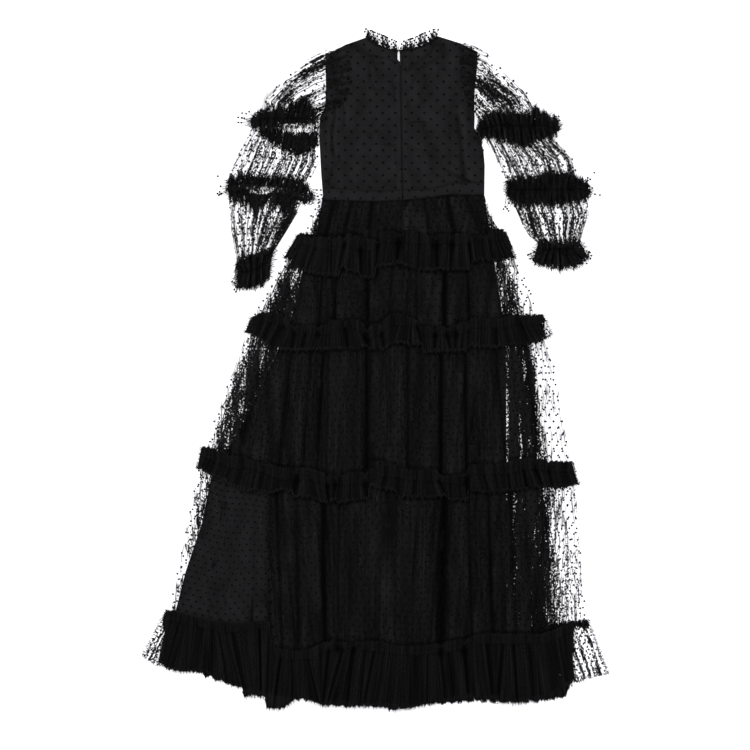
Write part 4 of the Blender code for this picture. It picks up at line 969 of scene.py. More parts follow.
class Tier:
    """A gathered tier of the back skirt: where its cloth and its folds run."""

    def __init__(self, name, number, top, bottom, folds, left, right, seed):
        self.name, self.number, self.seed = name, number, seed
        self.under = placed(BACK_RUFFLES[number - 1].top)
        self.over = placed(BACK_RUFFLES[number - 2].edge) if number > 1 else None
        self.top, self.bottom, self.left, self.right = top, bottom, left, right
        ends = [(meet(left, top), meet(left, bottom)), (meet(right, top), meet(right, bottom))]
        self.folds = [fold for fold in folds if ends[0][0] < fold.x_top < ends[1][0]]
        self.high = np.array([ends[0][0]] + [fold.x_top for fold in self.folds] + [ends[1][0]])
        self.low = np.array([ends[0][1]] + [fold.x_bottom for fold in self.folds] + [ends[1][1]])
        self.stripes = Ripple(seed, 24.0, 900.0, 9)
        self.broad = Ripple(seed + 50, 75.0, 700.0)
        self.minor = Ripple(seed + 70, 11.0, 400.0, 9)

    def grid(self):
        """Places of the cloth's points, and how far down the tier each row of them is."""
        columns = int((self.low[-1] - self.low[0]) / TIER_STEP) + 1
        x_top = np.linspace(self.high[0], self.high[-1], columns)
        x_bottom = np.interp(x_top, self.high, self.low)
        high, low = self.top(x_top), self.bottom(x_bottom)
        tall = np.mean(high - low)
        part = np.linspace(-LAP / tall, 1 + LAP / tall, int(tall / 3.2) + 1)[:, None]
        y = high * (1 - part) + low * part
        x = x_top * (1 - part) + x_bottom * part
        share = (x_top - x_top[0]) / (x_top[-1] - x_top[0])
        x = x + (self.left(y[:, :1]) - x[:, :1]) * np.clip(1 - share * 4, 0, 1)
        x = x + (self.right(y[:, -1:]) - x[:, -1:]) * np.clip(1 - (1 - share) * 4, 0, 1)
        return x, y, part

    def places(self, x, y):
        """How far down the tier a place is, and where its cloth starts at the seam above."""
        high, low = self.top(x), self.bottom(x)
        part = np.clip((high - y) / (high - low), 0.0, 1.0)
        x_top = np.zeros_like(x)
        for index in range(len(self.high) - 1):
            (left, right), (low_left, low_right) = self.high[index:index + 2], self.low[index:index + 2]
            start = left * (1 - part) + low_left * part
            stop = right * (1 - part) + low_right * part
            x_top = np.where(x >= start, left + (x - start) / (stop - start) * (right - left), x_top)
        return x_top, part

    def folded(self, x, y):
        """Valleys, stripes and broad waves of the folds at a place."""
        x_top, part = self.places(x, y)
        along = x_top * (1 + 0.25 * part)
        fine = 1.0 if self.number == 1 else 0.45
        stripes = (1.1 - fine * 0.7) * self.stripes.at(along, y) + fine * self.minor.at(along, y)
        broad = self.broad.at(x_top, y)
        valley = np.zeros_like(x)
        for fold in self.folds:
            middle = fold.x_top * (1 - part) + fold.x_bottom * part
            near = np.exp(-((x - middle) / (fold.half_width * 0.5)) ** 2)
            valley = np.maximum(valley, near * fold.depth)
        return valley, stripes, broad, part

    def shade(self, x, y):
        """Painted shade: dark in the folds, a painted shadow above the ruffle below and beneath the ruffle
        above or under the waistband, and lighter along the stripes of the gathers.
        """
        valley, stripes, broad, part = self.folded(x, y)
        shade = (0.98 + 0.15 * stripes + 0.14 * broad) * (1 - 0.88 * valley)
        above = y - line_y(self.under, x)
        shade = shade * (1 - 0.62 * np.exp(-(above / 4.5) ** 2))
        if self.over:
            beneath = line_y(self.over, x) - y
            shade = shade * (1 - 0.5 * np.exp(-(beneath / 5.0) ** 2))
        else:
            shade = shade * (1 - 0.4 * np.exp(-(part * 22.0) ** 2))
        return np.clip(shade * TIER_SHADES[self.number - 1], 0.1, 1.6)


# How light each tier is, from the top, and the tiers once they are laid out
TIER_SHADES = (0.92, 0.95, 1.1, 1.06)
TIERS = []


def add_tier(tier):
    """One gathered tier of the back skirt, in dotted net."""
    x, y, part = tier.grid()
    valley, stripes, broad, _ = tier.folded(x, y)
    free = ease(part, 0.1, 0.35) * ease(1 - part, 0.04, 0.2)
    z = Relief(tier.name).at(x, y) - HALF_WALL + free * (0.9 * stripes + 0.9 * broad)
    over = (x > side_x(LINING_SIDES, "left", y)) & (x < side_x(LINING_SIDES, "right", y))
    dense = side_density(x, y, tier.number)
    dense = np.where(over, dense + 0.4 * valley - 0.05 * stripes, dense + 0.1 * stripes)
    dense = dense + 1.0 * over * (1 - ease(tier.top(x) - y, 3.0, 12.0))
    sheet = Sheet(x, y, z, gather=np.clip(dense, 0.0, 1.5), shade=tier.shade(x, y), seed=tier.seed)
    piece = sheet.build("net_" + tier.name, NET)
    declare(piece, TIER_FULLNESS, ["cut_skirt_lining_back"], [tier.name])
    DOTS.extend(sheet.dots(*TIER_DOTS))


def skirt_lining_shape(x, y, z):
    """The back lining carries the painted shade and painted shadows of the folds of the net that lies on
    it.
    """
    shade = np.full_like(x, 0.75)
    for tier in TIERS:
        within = (y <= tier.top(x)) & (y > tier.bottom(x)) & (x > tier.left(y)) & (x < tier.right(y))
        shade = np.where(within, 0.8 * tier.shade(x, y), shade)
    smooth = smooth_side(x) * ease(-y, 240, 262)
    shade = shade + (1.0 - shade) * 0.75 * smooth
    wave = Ripple(31, 60.0, 190.0).at(x, y)
    # faint painted shade that follows the lining's slight ripple
    return z - HALF_WALL + 0.12 * wave, 1.0, 0.0, shade * (1.0 + 0.06 * wave)


def pleats(u, pitch, seed):
    """Height of fine pleats at places across the cloth, and a painted highlight along their crests."""
    uneven = Ripple(seed + 7, 30.0, 1e6).at(u, 0.0)
    phase = 2 * math.pi * (u / pitch + 0.35 * uneven)
    crest = 0.5 + 0.5 * np.cos(phase)
    draw = np.random.default_rng(seed + 11)
    strength = draw.uniform(0.35, 1.0, 4000)
    index = np.floor(u / pitch + 0.35 * uneven).astype(int) % 4000
    return crest * strength[index], crest ** 3 * strength[index]


def steps(count):
    """Rows from 0 to 1 that lie close together at both ends."""
    return 0.5 - 0.5 * np.cos(np.pi * np.linspace(0, 1, count))


def rib_ends(ruffle):
    """Where a ruffle's ribs start and end across the dress."""
    return np.array([[place(rib.seam, 0)[0], place(rib.hem, 0)[0]] for rib in ruffle.ribs]).T


def with_ribs(ruffle, shade, x, y, part, below):
    """A ruffle's shade with its ribs drawn into it, and how deep each place lies in them: painted shade in
    each valley, a painted highlight beside it and a near-black painted shadow in each opening at the seam.

    part is how far down the ruffle a place is, from 0 to 1, and below the same in millimetres.
    """
    dip = np.zeros_like(x)
    frill = ease(below, 0.0, 7.0) * (1 - 0.3 * ease(part, 0.85, 1.0))
    for rib, seam, hem in zip(ruffle.ribs, *rib_ends(ruffle)):
        wide = rib.half_width * PIXEL * (1 + 0.4 * rib.opening * (1 - part))
        away = np.abs(x - seam * (1 - part) - hem * part) / wide
        near = np.exp(-away ** 2) * frill * rib.depth
        beside = np.exp(-(away - 2.2) ** 2 * 1.5) * frill * max(rib.depth, 0)
        shade = shade * (1 - 0.92 * near + 0.3 * beside)
        dip = dip + near
        # a near-black painted shadow in the opening between two bundles at the seam
        if rib.opening:
            high = y - line_y(ruffle.line, seam) + 1.0
            wide = rib.opening * PIXEL * 1.05
            opening_shadow = np.exp(-((x - seam) ** 2 + (high * 0.5) ** 2) / wide ** 2)
            shade = shade * (1 - 0.98 * opening_shadow)
            dip = dip + opening_shadow
    return shade, dip


def add_back_ruffle(index, seed):
    """A pleated ruffle over a seam of the skirt, with its standing header."""
    ruffle = BACK_RUFFLES[index]
    at_hem = ruffle.line is HEM_RUFFLE
    name = ruffle.name + "_back"
    seams, hems = rib_ends(ruffle)
    middles = (seams + hems) / 2
    even = np.linspace(middles[0], middles[-1], int((middles[-1] - middles[0]) / 1.15))
    x_seam, x_hem = np.interp(even, middles, seams), np.interp(even, middles, hems)
    y_seam = line_y(ruffle.line, x_seam)
    length = y_seam - line_y(placed(ruffle.edge), x_hem)
    crimp = Ripple(seed + 6, 8.0, 1e6).at(x_seam, 0.0)
    open_here = sum(np.exp(-((x_seam - x) / (rib.opening * PIXEL)) ** 2)
                    for rib, x in zip(ruffle.ribs, seams) if rib.opening)
    header = np.clip(line_y(placed(ruffle.top), x_seam) - y_seam, 9.0, 26.0)
    header = header * (1 - 0.3 * np.clip(open_here, 0, 1)) + 0.9 * crimp
    up = np.linspace(1, 0, 8)[:-1, None]
    down = steps(int(length.mean() / 8) + 10)[:, None]
    x = np.concatenate([x_seam + 0.6 * crimp * up, x_seam + (x_hem - x_seam) * down])
    y = np.concatenate([y_seam + header * up, y_seam - (length + 1.2 * crimp) * down])
    below = np.concatenate([-header * up, length * down])
    part = np.concatenate([0 * up, down])
    swing = np.concatenate([0.8 * up, down ** 0.5])
    crest, _ = pleats(x_seam, 4.9, seed)
    bundle = Ripple(seed + 3, 21.0, 900.0, 8).at(x_seam, y)
    # painted highlight on the pleat crests and painted shade between them and between the bundles
    shade = (0.98 if at_hem else 0.88) + (0.62 * crest - 0.17) * (0.35 + 0.65 * swing) + 0.11 * bundle
    shade, dip = with_ribs(ruffle, shade, x, y, part, below)
    # painted highlight on the stitch, painted shadow just below it, a lighter painted header and a painted
    # highlight on its top rim
    shade = shade + 0.16 * np.exp(-(below / 1.3) ** 2) - 0.2 * np.exp(-((below - 4.0) / 2.6) ** 2)
    shade = shade + 0.14 * (1 - ease(below, -2.0, 0.0)) + 0.25 * np.exp(-((below + header) / 2.0) ** 2)
    z = Relief(name, soften=1).at(x, y) - HALF_WALL
    z = z + swing * (0.8 * (crest - 0.4) + 0.4 * bundle) - 1.3 * np.clip(dip, -0.5, 1.0)
    z = np.maximum(z, 1.2)
    free = np.concatenate([0.7 * ease(up * header, header - 3, header),
                           ease(down * length, length - 4, length)])
    gather = 0.35 + 1.35 * between(x, ruffle.sheer_left, ruffle.sheer_right)
    sheet = Sheet(x, y, z, gather=gather, edge=free, shade=np.clip(shade, 0.12, 1.7), seed=seed)
    piece = sheet.build("pleated_" + name, PLEATED)
    declare(piece, STRIP_FULLNESS, ["net_tier_%d_back" % min(index + 2, 4)], [name])
    lean = (x[-1] - x[-2]) / np.maximum(np.hypot(x[-1] - x[-2], y[-1] - y[-2]), 0.1)
    reach = 9.0 + 9.0 * ease(x[-1], 250, 330) if at_hem else 5.0
    fray(x[-1], y[-1], z[-1], lean, -1.0, 2.4, reach, 0.22, 300 + seed, 1.6)
    fray(x[0], y[0], z[0], 0.0, 1.0, 3.4, 3.5, 0.3, 320 + seed)
    for column, out, first in ((0, -1.0, 340), (-1, 1.0, 360)):
        fray(x[:, column], y[:, column], z[:, column], out, -0.2, 2.5, 12.0, 0.5, first + seed)


def strip_places(lines, share, u, seed, ragged):
    """Grid of points between two or three lines, ragged at its first and last row."""
    rails = [walk(line, len(u)) for line in lines]
    inside = ease(share, 0, 0.06) * ease(1 - share, 0, 0.06)
    fine = Ripple(seed + 9, 6.0, 1e6).at(u, 0.0)
    for rail, way, number in ((rails[0], 1, 1), (rails[-1], -1, 2)):
        uneven = 0.7 * Ripple(seed + number, 19.0, 1e6).at(u, 0.0) + 0.6 * fine
        rail[:, 1] += way * (ragged * uneven * inside + 1.0)
    rows = [a * (1 - step) + b * step for a, b in zip(rails, rails[1:]) for step in steps(12)[:-1]]
    return np.moveaxis(np.array(rows + [rails[-1]]), 2, 0)


def add_pleated_grid(name, lines, rests_on, seed, finish, ragged=4.0, reach=11.0, fade=6.0,
                     sheer=(-1e4, 1e4)):
    """A pleated piece between lines of points: a sleeve ring, a cuff or, at the front, a ruffle.

    One that rests on net belongs to the back. Where there are three lines, the middle one is
    stitched down. sheer holds the two columns of the photograph beyond which it looks sheer.
    """
    back, stitched = bool(rests_on), len(lines) == 3
    columns = int(max(length_of(line) for line in lines) / PLEAT_STEP)
    share = np.linspace(0, 1, columns)
    u = share * columns * PLEAT_STEP
    x, y = strip_places(lines, share, u, seed, ragged)
    from_top = np.hypot(x - x[0], y - y[0])
    from_end = np.hypot(x - x[-1], y - y[-1])
    middle = np.abs(np.linspace(-1, 1, len(x)))[:, None]
    swing = ease(middle, 0.0, 0.8) if stitched else 0.6 + 0 * middle
    crest, light = pleats(u, 5.6, seed)
    bundle = Ripple(seed + 3, 13.0, 500.0, 8).at(u, y)
    if back:
        z = Relief(name, soften=1).at(x, y) - HALF_WALL + swing * (0.9 * (crest - 0.4) + 0.6 * bundle)
    else:
        z = FRONT_TRIM_LEVEL + 0.35 * crest + np.zeros_like(x)
    # painted shade and highlight of the bundles and pleat crests, and painted shade along a stitched middle
    shade = 0.8 + 0.45 * bundle * (0.3 + swing) + 0.9 * light * swing
    if stitched:
        shade = shade * (1 - 0.6 * np.exp(-(middle / 0.14) ** 2))
    free = np.maximum(1 - ease(from_top, 0, fade), 1 - ease(from_end, 0, fade))
    end = np.minimum(share, 1 - share) * columns * PLEAT_STEP
    free = np.maximum(free, 0.8 * (1 - ease(end, 0, 7)))
    dense = 1.35 if back else 1.5
    gather = 0.55 + (dense - 0.55) * between(x, *sheer)
    if not back:
        gather = np.maximum(gather, dense * (1 - ease(from_top, 14.0, 24.0)))
    gather = through_slots(x, y, gather)
    sheet = Sheet(x, y, z, gather=gather, edge=free, shade=np.clip(shade, 0.2, 2.2), seed=seed)
    piece = sheet.build("pleated_" + name, finish)
    declare(piece, STRIP_FULLNESS if back else FRONT_FULLNESS, rests_on, [name])
    low, high = (place(column, 0)[0] for column in sheer)
    DOTS.extend(dot for dot in sheet.dots(*STRIP_DOTS) if not low < dot[0][0] < high)
    grid = np.stack([x, y, z])
    for row, beside, number in ((0, 1, 3), (-1, -2, 4)):
        fray_from(grid[:, row], grid[:, beside], 2.4, reach, 0.5, 10 * seed + number, 1.3)
    for column, beside, number in ((0, 4, 5), (-1, -5, 6)):
        fray_from(grid[:, :, column], grid[:, :, beside], 2.2, 1.8 * reach, 0.4, 10 * seed + number, 1.3)


def add_puff(sleeve, puff, half, seed):
    """One half of a puff of a sleeve."""
    name = "sleeve_%s_%s_%s" % (sleeve.side, puff.name, half)
    rows = int(length_of(puff.outer) / PUFF_ROW)
    outer, inner = walk(puff.outer, rows), walk(puff.inner, rows)
    columns = int(np.hypot(*(outer[rows // 2] - inner[rows // 2])) / TIER_STEP) + 8
    last = walk([outer[-1], inner[-1]], columns)
    first = walk(sleeve.head, columns) if puff.name == "upper" else walk([outer[0], inner[0]], columns)
    outer[0], inner[0] = first[0], first[-1]
    x, y = np.moveaxis(fill_between(first, last, outer, inner), 2, 0)
    share = np.linspace(0, 1, columns)
    part = np.linspace(0, 1, rows)[:, None]
    u = share * columns * TIER_STEP
    gathers = Ripple(seed, 16.0, 260.0, 9).at(u, part * 180)
    free = np.sin(np.pi * share) * (0.4 + 0.6 * np.sin(np.pi * part))
    if half == "back":
        z = Relief(name).at(x, y) - HALF_WALL + 0.7 * gathers * free
    else:
        z = np.full_like(x, FRONT_NET_TOP - HALF_WALL) + 0.25 * gathers * free
    near_seam = 1 - ease((1 - part) * rows * PUFF_ROW, 0, PUFF_GATHERS)
    if puff.name != "upper":
        near_seam = np.maximum(near_seam, 1 - ease(part * rows * PUFF_ROW, 0, PUFF_GATHERS))
    dense = sleeve_density(x, y) + 0.3 * near_seam + 0.1 * gathers
    side = np.minimum(share, 1 - share) * columns * TIER_STEP
    dense = through_slots(x, y, dense - 0.2 * (1 - ease(side, 0, 16)) * (puff.name != "lower"))
    # painted shade that follows the gathers
    shade = np.clip(0.95 + 0.2 * gathers, 0.4, 1.6)
    sheet = Sheet(x, y, z, gather=np.clip(dense, 0.05, 1), shade=shade, seed=seed)
    piece = sheet.build("net_" + name, CRINKLED)
    rests_on = ["net_" + name.replace("back", "front")] if half == "back" else []
    declare(piece, PUFF_FULLNESS, rests_on, [name])
    DOTS.extend(sheet.dots(*PUFF_DOTS))


def cut_from(name, cell):
    """The outline of a solid's top, cut into small faces, in millimetres."""
    builder = bmesh.new()
    builder.from_mesh(NODES[name].data)
    bmesh.ops.remove_doubles(builder, verts=builder.verts, dist=1e-6)
    under = [face for face in builder.faces if face.normal.z < 0.3]
    bmesh.ops.delete(builder, geom=under, context="FACES")
    bmesh.ops.scale(builder, vec=(1 / MM,) * 3, verts=builder.verts)
    bmesh.ops.dissolve_limit(builder, angle_limit=0.02, verts=builder.verts, edges=builder.edges)
    spots = np.array([vertex.co[:2] for vertex in builder.verts])
    for axis in (0, 1):
        low, high = spots[:, axis].min(), spots[:, axis].max()
        for step in range(1, int((high - low) / cell) + 1):
            middle, across = [0.0, 0.0, 0.0], [0.0, 0.0, 0.0]
            middle[axis], across[axis] = low + step * cell, 1.0
            geometry = builder.verts[:] + builder.edges[:] + builder.faces[:]
            bmesh.ops.bisect_plane(builder, geom=geometry, dist=1e-4, plane_co=middle, plane_no=across)
    return builder


def add_cut(name, prefix, material, shape, seed, rests_on, cell=8.0, dots=None):
    """A piece cut to the outline of its solid. shape gives its height, density, edge and shade."""
    builder = cut_from(name, cell)
    bmesh.ops.triangulate(builder, faces=[face for face in builder.faces if len(face.verts) > 4])
    points = np.array([vertex.co[:] for vertex in builder.verts])
    x, y, z = points.T
    height, gather, edge, shade = shape(x, y, z)
    for vertex, level in zip(builder.verts, np.broadcast_to(height, x.shape)):
        vertex.co.z = level
    bmesh.ops.scale(builder, vec=(MM,) * 3, verts=builder.verts)
    mesh = bpy.data.meshes.new(prefix + name)
    builder.to_mesh(mesh)
    builder.free()
    add_cloth_map(mesh, x, y, seed)
    add_values(mesh, gather=gather, edge=edge, shade=shade)
    piece = add_cloth(prefix + name, mesh, material)
    declare(piece, 1.0, rests_on, [name])
    if dots:
        add_flat_dots(mesh, *dots, seed)


def add_flat_dots(mesh, across, down, seed):
    """A staggered lattice of dots over a flat piece."""
    tree = BVHTree.FromPolygons([vertex.co.copy() for vertex in mesh.vertices],
                                [list(face.vertices) for face in mesh.polygons])
    spots = np.array([vertex.co[:2] for vertex in mesh.vertices]) / MM
    low, high = spots.min(axis=0), spots.max(axis=0)
    draw = np.random.default_rng(500 + seed)
    for k in range(int((high[1] - low[1]) / down) + 1):
        for j in range(int((high[0] - low[0]) / across) + 2):
            x = low[0] + (j + 0.5 * (k % 2)) * across + draw.uniform(-0.7, 0.7)
            y = low[1] + (k + 0.5) * down + draw.uniform(-0.5, 0.5)
            hit, facing, _, _ = tree.ray_cast(Vector((x * MM, y * MM, 1.0)), Vector((0, 0, -1)))
            if hit is not None:
                facing = facing if facing.z > 0 else -facing
                DOTS.append((hit / MM + facing * 0.3, facing))


def lining_shape(x, y, z):
    """Lining with a slight ripple, and faint painted shade that follows it."""
    wave = Ripple(31, 60.0, 190.0).at(x, y)
    return z - HALF_WALL + 0.12 * wave, 1.0, 0.0, 1.0 + 0.08 * wave


def front_net_shape(tier):
    """Net of a front tier, as dense as that of the back beside it."""
    def shape(x, y, z):
        return z - HALF_WALL, side_density(x, y, tier) * 0.9, 0.0, 0.9
    return shape


def bodice_front_shape(x, y, z):
    """Net of the bodice's front, as dense as that of the sleeves beside it."""
    return z - HALF_WALL, sleeve_density(x, y) * 0.8, 0.0, 0.9


# Creases of the bodice in the photograph's pixels: a line, half its width and its depth
CREASES = (
    (((406, 72.5), (412, 66), (418.7, 61.2), (430, 53.1), (435, 45)), 1.6, 0.75),
    (((422.5, 67.5), (432.5, 61.2), (438.7, 57.5)), 1.4, 0.65),
    (((403, 92.5), (411, 86), (415, 77.5)), 1.1, 0.5),
    (((421, 92), (427.5, 79.5), (432, 71)), 1.2, 0.4),
    (((404.4, 125.6), (410, 122.5), (418, 121.9), (426, 121.9)), 1.0, 0.8),
    (((407.5, 106), (412.5, 97.5)), 1.4, 0.5),
    (((457, 116), (460, 138.7), (461.2, 155), (465, 180)), 3.0, 0.75),
    (((445, 170), (455, 175), (470, 182), (482.5, 185)), 1.8, 0.6),
    (((367.5, 55), (378.7, 56.9), (390, 59.4), (400, 66.2)), 0.9, 0.7),
    (((368.7, 67.5), (370, 82.5), (375, 90), (385, 90), (397.5, 100)), 1.8, 0.4),
    (((372.5, 60), (378.7, 77.5)), 1.2, 0.4),
    (((391.9, 70), (392.5, 83.7), (395, 95)), 1.2, 0.4),
    (((333.7, 101), (335, 117.5), (332.5, 130), (331.9, 142.5), (333.7, 156)), 1.7, 0.85),
    (((340, 160), (332.5, 168.7), (328.7, 183.7)), 1.6, 0.75),
    (((342.5, 102.5), (345, 117.5), (342.5, 130)), 1.5, 0.45),
    (((327, 108), (325, 128), (326, 150)), 1.5, 0.4),
    (((390, 180), (383.7, 188.7), (381, 196)), 1.5, 0.5),
    (((400, 171), (392.5, 178.7), (386, 184)), 1.6, 0.35),
    (((400, 144.4), (391, 145.6), (385, 144.4)), 1.2, 0.35),
    (((354, 46), (362, 50), (370, 56)), 4.0, 0.45),
    (((434, 42), (441, 46), (444, 54)), 4.0, 0.4),
    (((404, 146), (420, 150), (440, 160)), 2.0, 0.25),
    (((420, 120), (424, 131), (430, 136)), 3.5, 0.25),
    (((472, 46), (474, 70), (473, 95), (469, 118)), 4.5, 0.6),
    (((336, 52), (334, 75), (338, 98)), 5.0, 0.45),
)


def creased(x, y):
    """Height that the creases of the bodice add, and their painted shade with a painted highlight beside
    each.
    """
    height, shade = np.zeros_like(x), np.full_like(x, 0.9)
    for line, half_width, depth in CREASES:
        points = placed(line)
        wide = half_width * PIXEL
        near = np.exp(-(distance_to(points, x, y) / wide) ** 2)
        beside = np.exp(-(distance_to(moved(points, 1.3 * wide, 1.3 * wide), x, y) / wide) ** 2)
        shade = shade * (1 - 0.8 * depth * near + 0.34 * depth * beside)
        height = height - 0.7 * depth * near + 0.3 * depth * beside
    return height, shade


def bodice_lining_shape(x, y, z):
    """Lining of the back, which carries the painted shade and highlights of the creases of the net that
    lies on it.
    """
    height, gather, edge, shade = lining_shape(x, y, z)
    return height, gather, edge, shade * creased(x, y)[1]


def bodice_back_shape(relief):
    """Net of the back, creased, over the relief of both its halves, with painted shade in its creases, over
    its soft ripple and along the groove of the zip.
    """
    def shape(x, y, z):
        height, shade = creased(x, y)
        soft = Ripple(71, 50.0, 90.0).at(x, y)
        height = height + relief.at(x, y) - HALF_WALL + 0.25 * soft
        by_zip = np.abs(x - zip_x(y))
        # painted shade over the soft ripple and in the groove of the zip
        shade = shade * (1 + 0.06 * soft) * (1 - 0.6 * np.exp(-(by_zip / 2.2) ** 2))
        return height, 0.0, 0.0, shade
    return shape


def band_shape(x, y, z):
    """Waistband, with painted shade along the seams of both its edges and faint painted shade over its
    crumples.
    """
    near = np.minimum(np.abs(line_y(BAND_TOP, x) + LAP - y), np.abs(y - line_y(WAIST, x) + LAP))
    crush = Ripple(81, 45.0, 60.0).at(x, y)
    return z - HALF_WALL + 0.2 * crush, 1.0, 0.0, (1 + 0.06 * crush) * (0.4 + 0.5 * ease(near, 0, 4))


def add_bodice():
    """Net, lining, waistband and neck frill."""
    back = Relief("bodice_net_back_left", "bodice_net_back_right", soften=1)
    for side in ("left", "right"):
        add_cut("bodice_lining_back_" + side, "cut_", LINING, bodice_lining_shape, 3,
                ["cut_bodice_lining_front"], cell=4.0)
        add_cut("bodice_net_back_" + side, "net_", NET, bodice_back_shape(back), 4,
                ["cut_bodice_lining_back_" + side], cell=4.0, dots=BODICE_DOTS)
        add_cut("waistband_back_" + side, "band_", BAND, band_shape, 5,
                ["net_bodice_net_back_" + side], cell=5.0, dots=BODICE_DOTS)
    add_cut("bodice_lining_front", "cut_", LINING, lining_shape, 6,
            ["net_bodice_net_front"])
    add_cut("bodice_net_front", "net_", NET, bodice_front_shape, 7,
            ["band_waistband_front"], dots=BODICE_DOTS)
    add_cut("waistband_front", "band_", BAND, lining_shape, 8, [])
    for side, neck, edge in (("left", NECK_LEFT, NECK_FRILL_LEFT),
                             ("right", NECK_RIGHT, NECK_FRILL_RIGHT)):
        add_frill("neck_frill_back_" + side, edge, neck, ["net_bodice_net_back_" + side], 20)
    add_frill("neck_frill_front", NECK_FRILL_FRONT, NECK_FRONT, [], 24)


def add_frill(name, edge, neck, rests_on, seed):
    """A short standing frill of net between its edge and the line of the neck."""
    columns = int(length_of(edge) / FRILL_STEP) + 1
    top, low = walk(edge, columns), walk([(x, y - LAP) for x, y in neck], columns)
    part = np.linspace(0, 1, 9)[:, None]
    x, y = (a * (1 - part) + b * part for a, b in zip(top.T, low.T))
    u = np.arange(columns) * FRILL_STEP
    crest, light = pleats(u, 6.0, seed)
    z = Relief(name, soften=1).at(x, y) - HALF_WALL + (1 - part) * 0.5 * (crest - 0.4)
    # painted highlight along the pleat crests
    shade = np.clip(0.9 + 0.5 * light, 0.4, 1.8)
    dense = 0.42 + 0.45 * ease(part, 0.35, 0.9) + 0.15 * Ripple(seed, 18.0, 200.0).at(u, 0.0)
    sheet = Sheet(x, y, z, gather=dense, edge=0.35 * (1 - ease(part, 0, 0.15)), shade=shade, seed=seed)
    DOTS.extend(sheet.dots(*FRILL_DOTS, margin=1.0))
    piece = sheet.build("net_" + name, NET)
    declare(piece, PUFF_FULLNESS, rests_on, [name])


def add_skirt():
    """Tiers, ruffles and lining of the skirt."""
    for number in (1, 2, 3, 4):
        add_cut("tier_%d_front" % number, "net_", NET, front_net_shape(number),
                10 + number, [], cell=10.0, dots=FRONT_DOTS)

    def left(y):
        return side_x(SKIRT_SIDES, "left", y)

    def right(y):
        return side_x(SKIRT_SIDES, "right", y)

    def seam(line):
        return lambda x: line_y(line, x)

    TIERS.extend((
        Tier("tier_1_back_left", 1, seam(WAIST), seam(RUFFLE_1), TIER_1_FOLDS, left,
             lambda y: zip_x(y) - EDGE_BY_ZIP, 31),
        Tier("tier_1_back_right", 1, seam(WAIST), seam(RUFFLE_1), TIER_1_FOLDS,
             lambda y: zip_x(y) + EDGE_BY_ZIP, right, 32),
        Tier("tier_2_back", 2, seam(RUFFLE_1), seam(RUFFLE_2), TIER_2_FOLDS, left, right, 33),
        Tier("tier_3_back", 3, seam(RUFFLE_2), seam(RUFFLE_3), TIER_3_FOLDS, left, right, 34),
        Tier("tier_4_back", 4, seam(RUFFLE_3), seam(HEM_RUFFLE), TIER_4_FOLDS, left, right, 35),
    ))
    for tier in TIERS:
        add_tier(tier)
    add_cut("skirt_lining_front", "cut_", LINING, lining_shape, 9,
            ["net_tier_2_front"], cell=12.0)
    add_cut("skirt_lining_back", "cut_", LINING, skirt_lining_shape, 9,
            ["cut_skirt_lining_front"], cell=3.8)
    for index in range(len(BACK_RUFFLES)):
        add_back_ruffle(index, 41 + index)
    for index, ruffle in enumerate(FRONT_RUFFLES):
        add_pleated_grid(ruffle.name, (ruffle.header, ruffle.hem), [], 51 + index, PLEATED, ragged=2.0,
                         reach=5.0, fade=4.0, sheer=(ruffle.sheer_left, ruffle.sheer_right))


def add_sleeves():
    """Puffs, rings and cuffs of both sleeves."""
    seed = 61
    for sleeve in SLEEVES:
        for puff in sleeve.puffs:
            for half in ("front", "back"):
                add_puff(sleeve, puff, half, seed)
                seed += 1
        part, cuff, net = (word % sleeve.side for word in ("sleeve_%s_", "cuff_%s_", "net_sleeve_%s_"))
        trims = [(part + ring.name + "_back", ring.lines, [net + "mid_back"]) for ring in sleeve.rings]
        trims += [(part + ring.name + "_front", ring.lines, []) for ring in sleeve.front_rings]
        trims += [(cuff + "back", sleeve.cuff, [net + "lower_back"]),
                  (cuff + "front", (sleeve.cuff[0], sleeve.cuff[-1]), [])]
        for name, lines, rests_on in trims:
            add_pleated_grid(name, lines, rests_on, seed, TUFTED)
            seed += 1
    add_tufts()


# Repeated small parts


def start_tree(name, sizes):
    """A Geometry Nodes tree with a named input for each size, and its graph."""
    tree = bpy.data.node_groups.new(name, "GeometryNodeTree")
    tree.interface.new_socket("Geometry", in_out="INPUT", socket_type="NodeSocketGeometry")
    for size in sizes:
        tree.interface.new_socket(size, in_out="INPUT", socket_type="NodeSocketFloat")
    tree.interface.new_socket("Geometry", in_out="OUTPUT", socket_type="NodeSocketGeometry")
    graph = Graph(tree)
    source = graph.node("NodeGroupInput").socket.node
    return tree, graph, {socket.name: Value(graph, socket) for socket in source.outputs}


def end_tree(graph, instances, material):
    """Makes the instances real, gives them their finish and ends the tree."""
    real = graph.node("GeometryNodeRealizeInstances", {}, {0: instances})
    done = graph.node("GeometryNodeSetMaterial", {}, {"Geometry": real, "Material": material})
    graph.node("NodeGroupOutput", {}, {0: done}, output=None)


def grow(name, mesh, tree, sizes):
    """Runs a tree on a mesh and keeps the result as a plain mesh."""
    item = add_object(name + "_source", mesh)
    modifier = item.modifiers.new("grow", "NODES")
    modifier.node_group = tree
    for socket in tree.interface.items_tree:
        if socket.in_out == "INPUT" and socket.name in sizes:
            modifier[socket.identifier] = sizes[socket.name]
    view = bpy.context.evaluated_depsgraph_get()
    result = bpy.data.meshes.new_from_object(item.evaluated_get(view))
    bpy.data.objects.remove(item, do_unlink=True)
    result.name = name
    return add_piece(name, result)


